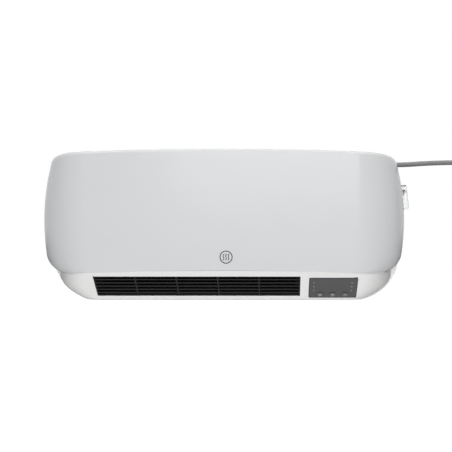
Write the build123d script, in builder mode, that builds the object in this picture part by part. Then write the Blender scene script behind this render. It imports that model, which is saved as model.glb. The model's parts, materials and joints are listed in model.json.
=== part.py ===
"""Wall fan heater: a PTC heater with a cross-flow blower in a two-tone moulded case.

Frame: origin midway between the two keyholes, on the wall plane. +X runs right as the
room sees it, +Y runs into the wall and +Z up. Sizes are millimetres. Most places are
given as a depth out of the wall (-Y) and a height above the heater's lowest edge.
"""

from build123d import *
from math import asin, cos, pi, radians, sin, sqrt, tan
import os

os.makedirs("parts", exist_ok=True)

# Overall size
body_width = 460.0
body_height = 190.0
body_depth = 118.0
mount_height = body_height - 40.0
keyhole_spacing = 300.0

# Walls and clearances
wall = 2.5
fit_gap = 0.3
slide_gap = 0.15
turn_gap = 0.04

# Front cover seen from the room
widest_height = body_height - 88.0
top_corner_x = body_width / 2 - 12.0
top_corner_height = body_height - 4.2
top_corner_r = 24.0
low_corner_x = body_width / 2 - 8.0
low_corner_height = 39.0
low_corner_r = 22.0
crease_height = 44.0
edge_r = 4.0

# Front cover seen from above
front_sagitta = 3.0
front_flat_half = body_width / 2 - 65.0
plan_half = body_width / 2 + 3.0
plan_side_depth = body_depth - 68.0

# Rear housing
rear_depth = 24.0
rear_inset = 3.0
lip_depth = 5.0
rear_corner_start = 40.0
rear_corner_mid = (body_width / 2 - 21.5, 15.0)
rear_corner_end_x = body_width / 2 - 52.0
rear_corner_normal = (0.75, 0.65)
rear_corner_step = 0.5

# Outlet frame, the white chin under the cover
slope_angle = 45.0
crease_depth = body_depth - 1.0
lip_height = 4.6
lip_r = 5.0
chin_plan_x = body_width / 2 - 13.0
chin_corner_width = 50.0
chin_corner_depth = body_depth - 21.0
chin_side_x = body_width / 2 - 16.0
chin_corner_mid = (body_width / 2 - 38.0, 20.6)
chin_corner_low_x = body_width / 2 - 68.0
chin_corner_normal = (0.6, 0.8)
chin_low_r = 30.0
deck_rise = 3.5
collar_rise = 1.0

# Outlet grille, along the slope and down it from the crease
grille_left = 74.5 - body_width / 2
grille_right = body_width / 2 - 134.0
grille_top = 11.0
grille_bottom = 47.4
grille_bays = 5
grille_gaps = 6
grille_rib = 1.4
slat_thickness = 1.3
slat_depth = 6.5
grille_frame_depth = 7.0
grille_rim = 1.2
grille_flange = 1.0
rib_inset = 0.6
slat_inset = 0.3

# Control panel
panel_centre_x = body_width / 2 - 93.8
panel_width = 59.3
panel_top = 13.2
panel_bottom = 50.6
panel_corner_r = 2.0
panel_thickness = 1.8
panel_proud = 0.2
window_margin = 2.6
window_depth = 3.5
button_pitch = 15.65
button_r = 4.5
button_row = 45.0
button_proud = 0.6
button_travel = 0.5
button_flange_r = 5.0
button_flange_thickness = 0.8
lamp_columns = (-23.5, 22.8)
lamp_rows = (22.4, 29.7, 37.0)
lamp_r = 0.7
board_inset = 8.0
board_thickness = 1.6
tact_size = 6.0
tact_height = 3.4
plunger_r = 1.6
plunger_height = 0.9

# Printed ring on the cover
mark_x = 6.6
mark_height = crease_height + 16.1
mark_r = 7.8
mark_line = 1.1
mark_relief = 0.15
stroke_line = 0.9
stroke_pitch = 3.0
stroke_wave = ((-1.0, -3.6), (0.3, -1.2), (-0.5, 1.2), (1.0, 3.6))

# Air inlet slots in the cover's top
inlet_count = 33
inlet_pitch = 7.5
inlet_slot = 3.2
inlet_length = 46.0
inlet_centre_x = grille_left + 125.5
inlet_depth = body_depth - 50.0

# Blower
fan_depth = body_depth - 56.0
fan_height = body_height - 72.0
fan_r = 30.0
fan_blades = 24
fan_sections = 5
blade_thickness = 1.0
blade_length = 9.0
blade_camber = 1.6
blade_sweep = 1.0
blade_tip_gap = 0.6
disc_thickness = 1.5
fan_end_gap = 4.0
shaft_r = 2.5
hub_r = 7.0
hub_length = 10.0
plate_thickness = 2.0
bush_r = 6.0
bush_length = 6.0
shaft_end_gap = 0.5
duct_margin = 0.5
scroll_thickness = 2.0
scroll_gap = 8.0
tongue_gap = 9.0
tongue_tip = (6.0, 12.0)
tongue_low = 22.0
tongue_drop = 6.0
foot_width = 12.0
foot_low = 24.0
foot_high = 12.0

# Heating element, parallel to the outlet slope
heater_inset = 22.0
heater_centre = 29.0
heater_height = 34.0
heater_thickness = 12.0
heater_cap = 14.0
cap_margin = 1.0
core_margin = 6.0
tab_rows = (-10.0, 0.0, 10.0)
tab_width = 6.3
tab_thickness = 0.8
tab_length = 9.0
heater_columns = 40
heater_rows = 3
heater_web = 0.8
heater_bar = 2.4

# Thermal cut-out and thermal fuse
cutout_x = 40.0
cutout_r = 8.0
cutout_base = 1.2
cutout_thickness = 5.0
fuse_x = 10.0
fuse_r = 2.0
fuse_length = 12.0

# Shaded-pole motor on the left
stack_length = 20.0
stack_width = 44.0
stack_top = 28.0
stack_bottom = 48.0
stack_leg = 8.0
window_width = 24.0
coil_end = 6.0
bore_r = 13.0
rotor_gap = 0.5
motor_screw_offset = 17.5
motor_screw_r = 1.75
standoff_length = 10.0
bracket_thickness = 2.0
bracket_gap = 2.0
bracket_height = 16.0

# Screw posts of the cover and the outlet frame: side and height of each pair
post_r = 4.0
top_post = (body_width / 2 - 26.0, body_height - 32.0)
low_post = (body_width / 2 - 22.0, crease_height + 16.0)
frame_post = (body_width / 2 - 80.0, 16.0)
post_screw_r = 1.6
post_head_r = 3.3
post_head_depth = 16.0
post_screw_length = 18.0
cross_width = 0.8
cross_length = 4.0

# Keyholes
keyhole_r = 4.75
keyhole_slot_r = 2.5
keyhole_slot_rise = 10.0
pocket_width = 18.0
pocket_low = 8.0
pocket_high = 15.0
pocket_depth = 8.0

# Rocker switch and its clear boot on the right side
switch_height = body_height - 56.0
switch_depth = 44.5
switch_pocket = 1.0
bezel_length = 29.6
bezel_width = 24.2
bezel_thickness = 1.5
switch_body_length = 26.6
switch_body_width = 21.6
switch_body_depth = 20.0
rocker_r = 11.6
rocker_width = 17.0
rocker_hub = 1.6
rocker_pivot = 2.3
rocker_turn = 24.0
trunnion_r = 1.5
trunnion_reach = 1.8
rocker_skirt = radians(22.0)
rocker_keel = 8.3
terminal_length = 9.0
terminal_spacing = (11.0, 13.0)
boot_wall = 0.9
boot_height = 7.3
boot_taper = 7.0
boot_clearance = 0.15
boot_corner_r = 1.2
boot_edge_r = 1.6

# Mains lead, its gland in the housing's notch, and the coil that is put away
cord_r = 3.25
cord_depth = 11.0
cord_height = body_height - 10.8
notch_left = body_width / 2 - 44.0
notch_low = body_height - 22.0
gland_neck_r = 4.0
gland_collar_r = 4.6
gland_collar = 2.0
sleeve_end_x = notch_left + 32.0
sleeve_root_r = 4.4
sleeve_tip_r = 3.8
run_share = 0.45
coil_left_x = 360.0
coil_height = 124.0
coil_back_depth = 5.5
coil_outer_r = 48.5
coil_radial_pitch = 7.2
coil_layer_pitch = 7.2
coil_turns_in = 5
coil_turns_out = 4
coil_samples = 16
tie_width = 5.0
tie_thickness = 1.0
plug_depth = 20.5
tail_run = 17.5
plug_top = 62.5
plug_neck_r = 4.4
plug_waist_r = 9.5
plug_waist_length = 18.0
plug_r = 18.5
plug_shoulder = 8.0
plug_length = 30.0
plug_pin_r = 2.4
plug_pin_length = 19.0
plug_pin_spacing = 19.0

# Electronics
board_right = body_width / 2 - 34.0
board_left = board_right - 86.0
board_low = crease_height + 8.0
board_high = board_low + 80.0
board_depth = 14.0
board_margin = 5.0
inner_screw_r = 1.2
inner_screw_length = 8.0
inner_head_r = 2.4
inner_head = 1.4
relay_size = (15.5, 19.0, 15.5)
relay_spots = ((16.0, 18.0), (36.0, 18.0))
capacitor_size = (26.0, 10.0, 18.0)
capacitor_spot = (66.0, 18.0)
capacitor_edge_r = 0.9
block_size = (32.0, 12.0, 11.0)
block_spot = (24.0, 70.0)
block_pitch = 10.0
block_screw_r = 2.6

# Leads inside the case
wire_r = 1.1
wire_lane = fan_height - 15.5
wire_lane_pitch = 3.0
wire_depth = 8.0
wire_end_x = board_left + 4.0
wire_arch = 9.0
sheath_rise = 20.0
sheath_depth = board_depth + 7.0
core_starts = ((1.4, 0.0, -1.2), (-0.4, 2.0, -1.0), (-2.0, 0.0, -0.8))
core_knees = ((-2.0, 0.0, -7.5), (-4.0, 2.0, -4.5), (-8.0, 0.0, -1.5))


def front_plane(depth):
    """Upright plane facing the room: local y is the height, extrusions come forward."""
    return Plane(origin=(0, -depth, -mount_height), x_dir=(1, 0, 0), z_dir=(0, -1, 0))


def plan_plane(height):
    """Level plane seen from below: local y is the depth, extrusions go down."""
    return Plane(origin=(0, 0, height - mount_height), x_dir=(1, 0, 0), z_dir=(0, 0, -1))


def side_plane(x):
    """Upright plane across the heater: local x is the depth, extrusions go to -X."""
    return Plane(origin=(x, 0, -mount_height), x_dir=(0, -1, 0), z_dir=(-1, 0, 0))


def slope_plane(inset):
    """Plane of the outlet slope, inset behind it: local y runs up the slope to 0 at the crease."""
    out_y, out_z = -cos(radians(slope_angle)), -sin(radians(slope_angle))
    return Plane(
        origin=(0, -crease_depth - inset * out_y, crease_height - mount_height - inset * out_z),
        x_dir=(1, 0, 0),
        z_dir=(0, out_y, out_z),
    )


def slope_point(down, inset):
    """Depth and height of a point down the slope from the crease and inset behind it."""
    step, rise = cos(radians(slope_angle)), sin(radians(slope_angle))
    return (crease_depth - down * step - inset * step, crease_height - down * rise + inset * rise)


def circle_through(first, second, third):
    """Centre and radius of the circle through three points."""
    (ax, ay), (bx, by), (cx, cy) = first, second, third
    twice = 2 * (ax * (by - cy) + bx * (cy - ay) + cx * (ay - by))
    a2, b2, c2 = ax * ax + ay * ay, bx * bx + by * by, cx * cx + cy * cy
    x = (a2 * (by - cy) + b2 * (cy - ay) + c2 * (ay - by)) / twice
    y = (a2 * (cx - bx) + b2 * (ax - cx) + c2 * (bx - ax)) / twice
    return x, y, sqrt((ax - x) ** 2 + (ay - y) ** 2)


side_centre_x, side_centre_height, side_r = circle_through(
    (top_corner_x, top_corner_height),
    (body_width / 2, widest_height),
    (low_corner_x, low_corner_height),
)
switch_tilt = asin((switch_height - side_centre_height) / side_r)
switch_seat_x = side_centre_x + side_r * cos(switch_tilt)


def switch_plane(out):
    """Plane of the switch's seat, moved out of the wall: local y is up, local x towards the wall."""
    lift = out - switch_pocket
    return Plane(
        origin=(
            switch_seat_x + lift * cos(switch_tilt),
            -switch_depth,
            switch_height - mount_height + lift * sin(switch_tilt),
        ),
        x_dir=(0, 1, 0),
        z_dir=(cos(switch_tilt), 0, sin(switch_tilt)),
    )


def rim_height(x):
    """Height of the cover's arched lower rim at x."""
    return crease_height - (crease_height - low_corner_height) * (x / low_corner_x) ** 2


def cover_plan(inset):
    """Plan of the cover: a nearly flat front and two long rounded corners."""
    flat_depth = body_depth - front_sagitta - inset
    lean = 2 * front_sagitta / front_flat_half
    side_x = plan_half - inset
    with BuildSketch() as plan:
        with BuildLine():
            ThreePointArc(
                (-front_flat_half, flat_depth), (0, body_depth - inset), (front_flat_half, flat_depth)
            )
            Spline(
                (front_flat_half, flat_depth),
                (side_x, plan_side_depth),
                tangents=((1, -lean), (0, -1)),
            )
            Polyline(
                (side_x, plan_side_depth),
                (side_x, 0),
                (-side_x, 0),
                (-side_x, plan_side_depth),
            )
            Spline(
                (-side_x, plan_side_depth),
                (-front_flat_half, flat_depth),
                tangents=((0, 1), (1, lean)),
            )
        make_face()
    return plan.sketch


def cover_front(inset, corner_inset=None):
    """Front view of the cover: arched top, bulging sides and an arched lower rim."""
    corner_inset = inset if corner_inset is None else corner_inset
    top_x, top_height = top_corner_x - inset, top_corner_height - inset
    low_x, low_height = low_corner_x - inset, low_corner_height + corner_inset
    with BuildSketch() as front:
        with BuildLine():
            ThreePointArc((-top_x, top_height), (0, body_height - inset), (top_x, top_height))
            ThreePointArc((top_x, top_height), (body_width / 2 - inset, widest_height), (low_x, low_height))
            ThreePointArc((low_x, low_height), (0, crease_height + corner_inset), (-low_x, low_height))
            ThreePointArc((-low_x, low_height), (inset - body_width / 2, widest_height), (-top_x, top_height))
        make_face()
        fillet(front.vertices().sort_by(Axis.Y)[2:], top_corner_r - inset)
        fillet(front.vertices().sort_by(Axis.Y)[:2], low_corner_r - inset)
    return front.sketch


def tall_front(inset):
    """The cover's front view carried straight down past its lower rim."""
    top_x, top_height = top_corner_x - inset, top_corner_height - inset
    low_x = low_corner_x - inset
    with BuildSketch() as front:
        with BuildLine():
            ThreePointArc((-top_x, top_height), (0, body_height - inset), (top_x, top_height))
            ThreePointArc(
                (top_x, top_height), (body_width / 2 - inset, widest_height), (low_x, low_corner_height)
            )
            Polyline((low_x, low_corner_height), (low_x, 0), (-low_x, 0), (-low_x, low_corner_height))
            ThreePointArc(
                (-low_x, low_corner_height), (inset - body_width / 2, widest_height), (-top_x, top_height)
            )
        make_face()
        fillet(front.vertices().sort_by(Axis.Y)[-2:], top_corner_r - inset)
    return front.sketch


def rear_front(inset):
    """Front view of the rear housing: inside the cover above, with large lower corners."""
    top_x, top_height = top_corner_x - rear_inset - inset, top_corner_height - rear_inset - inset
    side_x = body_width / 2 - rear_inset - inset
    start_x = low_corner_x + rear_inset + rear_corner_step - inset
    mid_x = rear_corner_mid[0] - rear_corner_normal[0] * inset
    mid_height = rear_corner_mid[1] + rear_corner_normal[1] * inset
    with BuildSketch() as front:
        with BuildLine():
            ThreePointArc((-top_x, top_height), (0, body_height - rear_inset - inset), (top_x, top_height))
            ThreePointArc((top_x, top_height), (side_x, widest_height), (start_x, rear_corner_start))
            ThreePointArc((start_x, rear_corner_start), (mid_x, mid_height), (rear_corner_end_x, inset))
            Line((rear_corner_end_x, inset), (-rear_corner_end_x, inset))
            ThreePointArc((-rear_corner_end_x, inset), (-mid_x, mid_height), (-start_x, rear_corner_start))
            ThreePointArc((-start_x, rear_corner_start), (-side_x, widest_height), (-top_x, top_height))
        make_face()
        fillet(front.vertices().sort_by(Axis.Y)[-2:], top_corner_r - rear_inset - inset)
    return front.sketch


def chin_plan(inset):
    """Plan of the outlet frame: long rounded front corners that widen towards the wall."""
    centre_x, back = chin_plan_x - chin_corner_width, rear_depth - wall
    across, along = chin_corner_width - inset, chin_corner_depth - inset
    with BuildSketch() as plan:
        with BuildLine():
            Line((-centre_x, back + along), (centre_x, back + along))
            EllipticalCenterArc((centre_x, back), across, along, 0, arc_size=90)
            Polyline(
                (centre_x + across, back),
                (centre_x + across, 0),
                (-centre_x - across, 0),
                (-centre_x - across, back),
            )
            EllipticalCenterArc((-centre_x, back), across, along, 90, arc_size=90)
        make_face()
    return plan.sketch


def chin_front(inset, lift=0):
    """Front view of the outlet frame under the cover's rim, its top raised by lift."""
    side_x = chin_side_x - inset
    side_height = rim_height(side_x) - fit_gap
    mid_x = chin_corner_mid[0] - chin_corner_normal[0] * inset
    mid_height = chin_corner_mid[1] + chin_corner_normal[1] * inset
    low_x, low_height = chin_corner_low_x, lip_height + inset
    with BuildSketch() as front:
        with BuildLine():
            ThreePointArc(
                (-side_x, side_height + lift),
                (0, crease_height - fit_gap + lift),
                (side_x, side_height + lift),
            )
            if lift:
                Line((side_x, side_height + lift), (side_x, side_height))
                Line((-side_x, side_height), (-side_x, side_height + lift))
            ThreePointArc((side_x, side_height), (mid_x, mid_height), (low_x, low_height))
            Line((low_x, low_height), (-low_x, low_height))
            ThreePointArc((-low_x, low_height), (-mid_x, mid_height), (-side_x, side_height))
        make_face()
        fillet(front.vertices().sort_by(Axis.Y)[:2], chin_low_r)
    return front.sketch


def chin_profile(inset, top):
    """Side view of the outlet frame: flat bottom, rounded lip and 45 degree slope."""
    low = lip_height + inset
    slope_shift = crease_depth - crease_height - inset / sin(radians(slope_angle))
    with BuildSketch() as profile:
        with BuildLine():
            Polyline(
                (0, low),
                (low + slope_shift, low),
                (crease_height + slope_shift, crease_height),
                (crease_height + slope_shift, top),
                (0, top),
                close=True,
            )
        make_face()
        fillet(profile.vertices().group_by(Axis.Y)[0].sort_by(Axis.X)[-1], lip_r - inset / 2)
    return profile.sketch


def both_sides(*spots):
    """Each spot and its mirror image on the other side."""
    return [(side * x, height) for x, height in spots for side in (-1, 1)]


def save(name, part):
    """Label a finished piece and write it under its own name."""
    part.label = name
    export_step(part, f"parts/{name}.step")


cover_post_spots = both_sides(top_post, low_post)
frame_post_spots = both_sides(frame_post)
post_spots = cover_post_spots + frame_post_spots
board_screw_spots = [
    (x, height)
    for x in (board_left + board_margin, board_right - board_margin)
    for height in (board_low + board_margin, board_high - board_margin)
]

# Front cover
with BuildPart() as cover_form:
    with BuildSketch(plan_plane(body_height)):
        add(cover_plan(0))
    extrude(amount=body_height)
    with BuildSketch(front_plane(rear_depth)):
        add(tall_front(0))
    extrude(amount=body_depth, mode=Mode.INTERSECT)
    front_loop = [
        edge
        for edge in cover_form.edges().filter_by(GeomType.BSPLINE)
        if -edge.center().Y > rear_depth + wall and edge.center().Z > low_corner_height - mount_height
    ]
    fillet(front_loop, edge_r)
    with BuildSketch(front_plane(rear_depth)):
        add(cover_front(0))
    extrude(amount=body_depth, mode=Mode.INTERSECT)

with BuildPart() as cover_room:
    with BuildSketch(plan_plane(body_height)):
        add(cover_plan(wall))
    extrude(amount=body_height)
    with BuildSketch(front_plane(0)):
        add(tall_front(wall))
    extrude(amount=body_depth, mode=Mode.INTERSECT)

with BuildPart() as cover_posts:
    with BuildSketch(front_plane(rear_depth - wall + fit_gap)):
        with Locations(*cover_post_spots):
            Circle(post_r)
    extrude(amount=body_depth)
    with BuildSketch(plan_plane(body_height)):
        add(cover_plan(wall / 2))
    extrude(amount=body_height, mode=Mode.INTERSECT)
    with BuildSketch(front_plane(rear_depth - wall + fit_gap)):
        with Locations(*cover_post_spots):
            Circle(post_screw_r)
    extrude(amount=post_screw_length, mode=Mode.SUBTRACT)

with BuildPart() as front_cover:
    add(cover_form.part)
    add(cover_room.part, mode=Mode.SUBTRACT)
    add(cover_posts.part)
    # Air inlet slots through the top
    with BuildSketch(plan_plane(body_height)):
        with Locations((inlet_centre_x, inlet_depth)):
            with GridLocations(inlet_pitch, 1, inlet_count, 1):
                SlotOverall(inlet_length, inlet_slot, rotation=90)
    extrude(amount=top_corner_r / 2, mode=Mode.SUBTRACT)
    # Flat seat and window for the rocker switch, with a pad behind them
    with BuildSketch(switch_plane(-wall)):
        Rectangle(bezel_width + 2 * wall, bezel_length + 4 * wall)
    extrude(amount=wall)
    with BuildSketch(switch_plane(0)):
        Rectangle(
            bezel_width + 2 * (boot_wall + boot_clearance + fit_gap),
            bezel_length + 2 * (boot_wall + boot_clearance + fit_gap),
        )
    extrude(amount=wall, mode=Mode.SUBTRACT)
    with BuildSketch(switch_plane(wall)):
        Rectangle(switch_body_width + 2 * fit_gap, switch_body_length + 2 * fit_gap)
    extrude(amount=-4 * wall, mode=Mode.SUBTRACT)
save("front_cover", front_cover.part)

# Printed mark on the cover: a ring around three strokes of rising warm air
with BuildPart() as warm_air_mark:
    with BuildSketch(front_plane(body_depth - wall)):
        with Locations((mark_x, mark_height)):
            Circle(mark_r)
            Circle(mark_r - mark_line, mode=Mode.SUBTRACT)
        for stroke in (-1, 0, 1):
            with BuildLine() as wave:
                Spline(*[(mark_x + stroke * stroke_pitch + x, mark_height + rise) for x, rise in stroke_wave])
            trace(wave.line, line_width=stroke_line)
    extrude(amount=2 * wall)
    with BuildSketch(plan_plane(body_height)):
        add(cover_plan(-mark_relief))
    extrude(amount=body_height, mode=Mode.INTERSECT)
    add(cover_form.part, mode=Mode.SUBTRACT)
save("warm_air_mark", warm_air_mark.part)

# Rear housing: a tray against the wall with the keyholes, posts and the cord's notch
with BuildPart() as rear_housing:
    with BuildSketch(front_plane(0)):
        add(rear_front(0))
    extrude(amount=rear_depth)
    with BuildSketch(front_plane(wall)):
        add(rear_front(wall))
    extrude(amount=rear_depth, mode=Mode.SUBTRACT)
    # Flange that closes the rim towards the cover and the outlet frame
    with BuildSketch(front_plane(rear_depth - wall)):
        add(rear_front(0))
        add(cover_front(rear_inset + wall), mode=Mode.SUBTRACT)
        add(chin_front(wall, 3 * wall), mode=Mode.SUBTRACT)
    extrude(amount=wall)
    # Lip inside the cover
    with BuildSketch(front_plane(rear_depth)):
        add(cover_front(rear_inset))
        add(cover_front(rear_inset + wall), mode=Mode.SUBTRACT)
        with Locations((0, 0)):
            Rectangle(2 * body_width, 2 * (low_corner_height + low_corner_r + wall), mode=Mode.SUBTRACT)
    extrude(amount=lip_depth)
    # Notch at the upper right where the lead comes out
    with BuildSketch(front_plane(0)):
        with Locations((notch_left - wall, notch_low - wall)):
            Rectangle(body_width, body_height, align=(Align.MIN, Align.MIN))
        add(rear_front(0), mode=Mode.INTERSECT)
    extrude(amount=rear_depth)
    with BuildSketch(front_plane(0)):
        with Locations((notch_left, notch_low)):
            Rectangle(body_width, body_height, align=(Align.MIN, Align.MIN))
    extrude(amount=rear_depth - wall, mode=Mode.SUBTRACT)
    with BuildSketch(Plane.YZ.offset(notch_left - 2 * wall)):
        with Locations((-cord_depth, cord_height - mount_height)):
            Circle(gland_neck_r + turn_gap)
    extrude(amount=2 * wall, mode=Mode.SUBTRACT)
    with BuildSketch(Plane.YZ.offset(keyhole_spacing / 2)):
        with Locations((-cord_depth, cord_height - mount_height)):
            Circle(cord_r + fit_gap)
    extrude(amount=notch_left - keyhole_spacing / 2, mode=Mode.SUBTRACT)
    # Keyhole pockets
    with BuildSketch(front_plane(wall)):
        for key_x in (-keyhole_spacing / 2, keyhole_spacing / 2):
            with Locations((key_x, mount_height - pocket_low - wall)):
                Rectangle(
                    pocket_width + 2 * wall,
                    pocket_low + pocket_high + 2 * wall,
                    align=(Align.CENTER, Align.MIN),
                )
    extrude(amount=pocket_depth + wall)
    with BuildSketch(front_plane(wall)):
        for key_x in (-keyhole_spacing / 2, keyhole_spacing / 2):
            with Locations((key_x, mount_height - pocket_low)):
                Rectangle(pocket_width, pocket_low + pocket_high, align=(Align.CENTER, Align.MIN))
    extrude(amount=pocket_depth, mode=Mode.SUBTRACT)
    with BuildSketch(front_plane(0)):
        for key_x in (-keyhole_spacing / 2, keyhole_spacing / 2):
            with Locations((key_x, mount_height)):
                Circle(keyhole_r)
            with Locations((key_x, mount_height + keyhole_slot_rise / 2)):
                SlotCenterToCenter(keyhole_slot_rise, 2 * keyhole_slot_r, rotation=90)
    extrude(amount=wall, mode=Mode.SUBTRACT)
    # Screw wells that meet the posts of the cover and the outlet frame
    with BuildSketch(front_plane(wall)):
        with Locations(*post_spots):
            Circle(post_head_r + wall / 2)
    extrude(amount=rear_depth - 2 * wall)
    with BuildSketch(front_plane(0)):
        with Locations(*post_spots):
            Circle(post_head_r)
    extrude(amount=post_head_depth, mode=Mode.SUBTRACT)
    with BuildSketch(front_plane(0)):
        with Locations(*post_spots):
            Circle(post_screw_r + fit_gap)
    extrude(amount=rear_depth, mode=Mode.SUBTRACT)
    # Posts under the power board
    with BuildSketch(front_plane(wall)):
        with Locations(*board_screw_spots):
            Circle(post_r)
    extrude(amount=board_depth - wall)
    with BuildSketch(front_plane(board_depth)):
        with Locations(*board_screw_spots):
            Circle(inner_screw_r)
    extrude(amount=board_thickness - inner_screw_length, mode=Mode.SUBTRACT)
save("rear_housing", rear_housing.part)

# Case screws that pull the cover and the outlet frame onto the rear housing
with BuildPart() as case_screws:
    with BuildSketch(front_plane(post_head_depth)):
        with Locations(*post_spots):
            Circle(post_screw_r)
    extrude(amount=post_screw_length)
    with BuildSketch(front_plane(post_head_depth)):
        with Locations(*post_spots):
            Circle(post_head_r - fit_gap)
    extrude(amount=-wall)
    with BuildSketch(front_plane(post_head_depth - wall)):
        with Locations(*post_spots):
            Rectangle(cross_width, cross_length)
        with Locations(*post_spots):
            Rectangle(cross_length, cross_width)
    extrude(amount=wall / 2, mode=Mode.SUBTRACT)
save("case_screws", case_screws.part)

# Outlet frame: the chin's form, a deck and a collar, less the room inside
with BuildPart() as chin_form:
    with BuildSketch(side_plane(body_width / 2)):
        add(chin_profile(0, crease_height + 2 * wall))
    extrude(amount=body_width)
    with BuildSketch(plan_plane(body_height)):
        add(chin_plan(0))
    extrude(amount=body_height, mode=Mode.INTERSECT)
    with BuildSketch(front_plane(rear_depth)):
        add(chin_front(0))
    extrude(amount=body_depth, mode=Mode.INTERSECT)
    with BuildSketch(plan_plane(body_height)):
        add(cover_plan(0))
    extrude(amount=body_height, mode=Mode.INTERSECT)

# Deck that closes the cover from below, and the collar that joins it to the slope
with BuildPart() as deck:
    with BuildSketch(front_plane(rear_depth)):
        add(cover_front(wall + fit_gap, fit_gap))
        with BuildLine():
            ThreePointArc(
                (-low_corner_x, rim_height(low_corner_x) + deck_rise),
                (0, crease_height + deck_rise),
                (low_corner_x, rim_height(low_corner_x) + deck_rise),
            )
            Polyline(
                (low_corner_x, rim_height(low_corner_x) + deck_rise),
                (low_corner_x, 0),
                (-low_corner_x, 0),
                (-low_corner_x, rim_height(low_corner_x) + deck_rise),
            )
        make_face(mode=Mode.INTERSECT)
    extrude(amount=body_depth)
    with BuildSketch(plan_plane(body_height)):
        add(cover_plan(wall + fit_gap))
    extrude(amount=body_height, mode=Mode.INTERSECT)

with BuildPart() as collar:
    with BuildSketch(plan_plane(crease_height + collar_rise)):
        add(chin_plan(0))
        add(cover_plan(wall + fit_gap), mode=Mode.INTERSECT)
        with Locations((0, 0)):
            Rectangle(2 * body_width, 2 * rear_depth, mode=Mode.SUBTRACT)
    extrude(amount=2 * wall)
    with BuildSketch(front_plane(rear_depth)):
        add(chin_front(0, wall))
    extrude(amount=body_depth, mode=Mode.INTERSECT)

with BuildPart() as chin_room:
    with BuildSketch(side_plane(body_width / 2)):
        add(chin_profile(wall, body_height))
    extrude(amount=body_width)
    with BuildSketch(plan_plane(body_height)):
        add(chin_plan(wall))
        add(cover_plan(2 * wall), mode=Mode.INTERSECT)
    extrude(amount=body_height, mode=Mode.INTERSECT)
    with BuildSketch(front_plane(0)):
        add(chin_front(wall, body_height))
    extrude(amount=body_depth, mode=Mode.INTERSECT)

def slope_box(x_left, x_right, top, bottom, inset_out, inset_in):
    """A box on the slope, from x_left to x_right and top to bottom, between two insets."""
    with BuildPart() as box:
        with BuildSketch(slope_plane(inset_in)):
            with Locations(((x_left + x_right) / 2, -(top + bottom) / 2)):
                Rectangle(x_right - x_left, bottom - top)
        extrude(amount=inset_in - inset_out)
    return box.part


panel_left = panel_centre_x - panel_width / 2
panel_right = panel_centre_x + panel_width / 2
button_xs = [panel_centre_x + step * button_pitch for step in (-1, 0, 1)]
lamp_spots = [(panel_centre_x + column, -row) for column in lamp_columns for row in lamp_rows]
board_posts = [
    (panel_centre_x + side * (panel_width / 2 - post_r / 2), -row)
    for side in (-1, 1)
    for row in (panel_top + post_r / 2, panel_bottom - 2 * post_r)
]

with BuildPart() as outlet_frame:
    add(chin_form.part)
    add(collar.part)
    add(deck.part)
    add(chin_room.part, mode=Mode.SUBTRACT)
    # Screw posts that stand on the rear housing's wells
    with BuildSketch(front_plane(rear_depth - wall + fit_gap)):
        with Locations(*frame_post_spots):
            Circle(post_r)
    extrude(amount=post_screw_length)
    with BuildSketch(front_plane(rear_depth)):
        with Locations(*frame_post_spots):
            Rectangle(wall, frame_post[1] - lip_height - wall / 2, align=(Align.CENTER, Align.MAX))
    extrude(amount=post_screw_length - wall)
    with BuildSketch(front_plane(rear_depth - wall + fit_gap)):
        with Locations(*frame_post_spots):
            Circle(post_screw_r)
    extrude(amount=post_screw_length - wall, mode=Mode.SUBTRACT)
    # Posts for the display board
    with BuildSketch(slope_plane(board_inset)):
        with Locations(*board_posts):
            Circle(post_r / 2)
    extrude(amount=board_inset - wall)
    # Grille opening
    add(
        slope_box(grille_left, grille_right, grille_top, grille_bottom, -wall, 2 * wall),
        mode=Mode.SUBTRACT,
    )
    # Panel recess and the window behind it
    with BuildSketch(slope_plane(panel_thickness - panel_proud)):
        with Locations((panel_centre_x, -(panel_top + panel_bottom) / 2)):
            RectangleRounded(
                panel_width + 2 * slide_gap, panel_bottom - panel_top + 2 * slide_gap, panel_corner_r
            )
    extrude(amount=2 * wall, mode=Mode.SUBTRACT)
    add(
        slope_box(
            panel_left + window_margin,
            panel_right - window_margin,
            panel_top + window_margin,
            panel_bottom - fit_gap,
            0,
            window_depth,
        ),
        mode=Mode.SUBTRACT,
    )
save("outlet_frame", outlet_frame.part)

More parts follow.
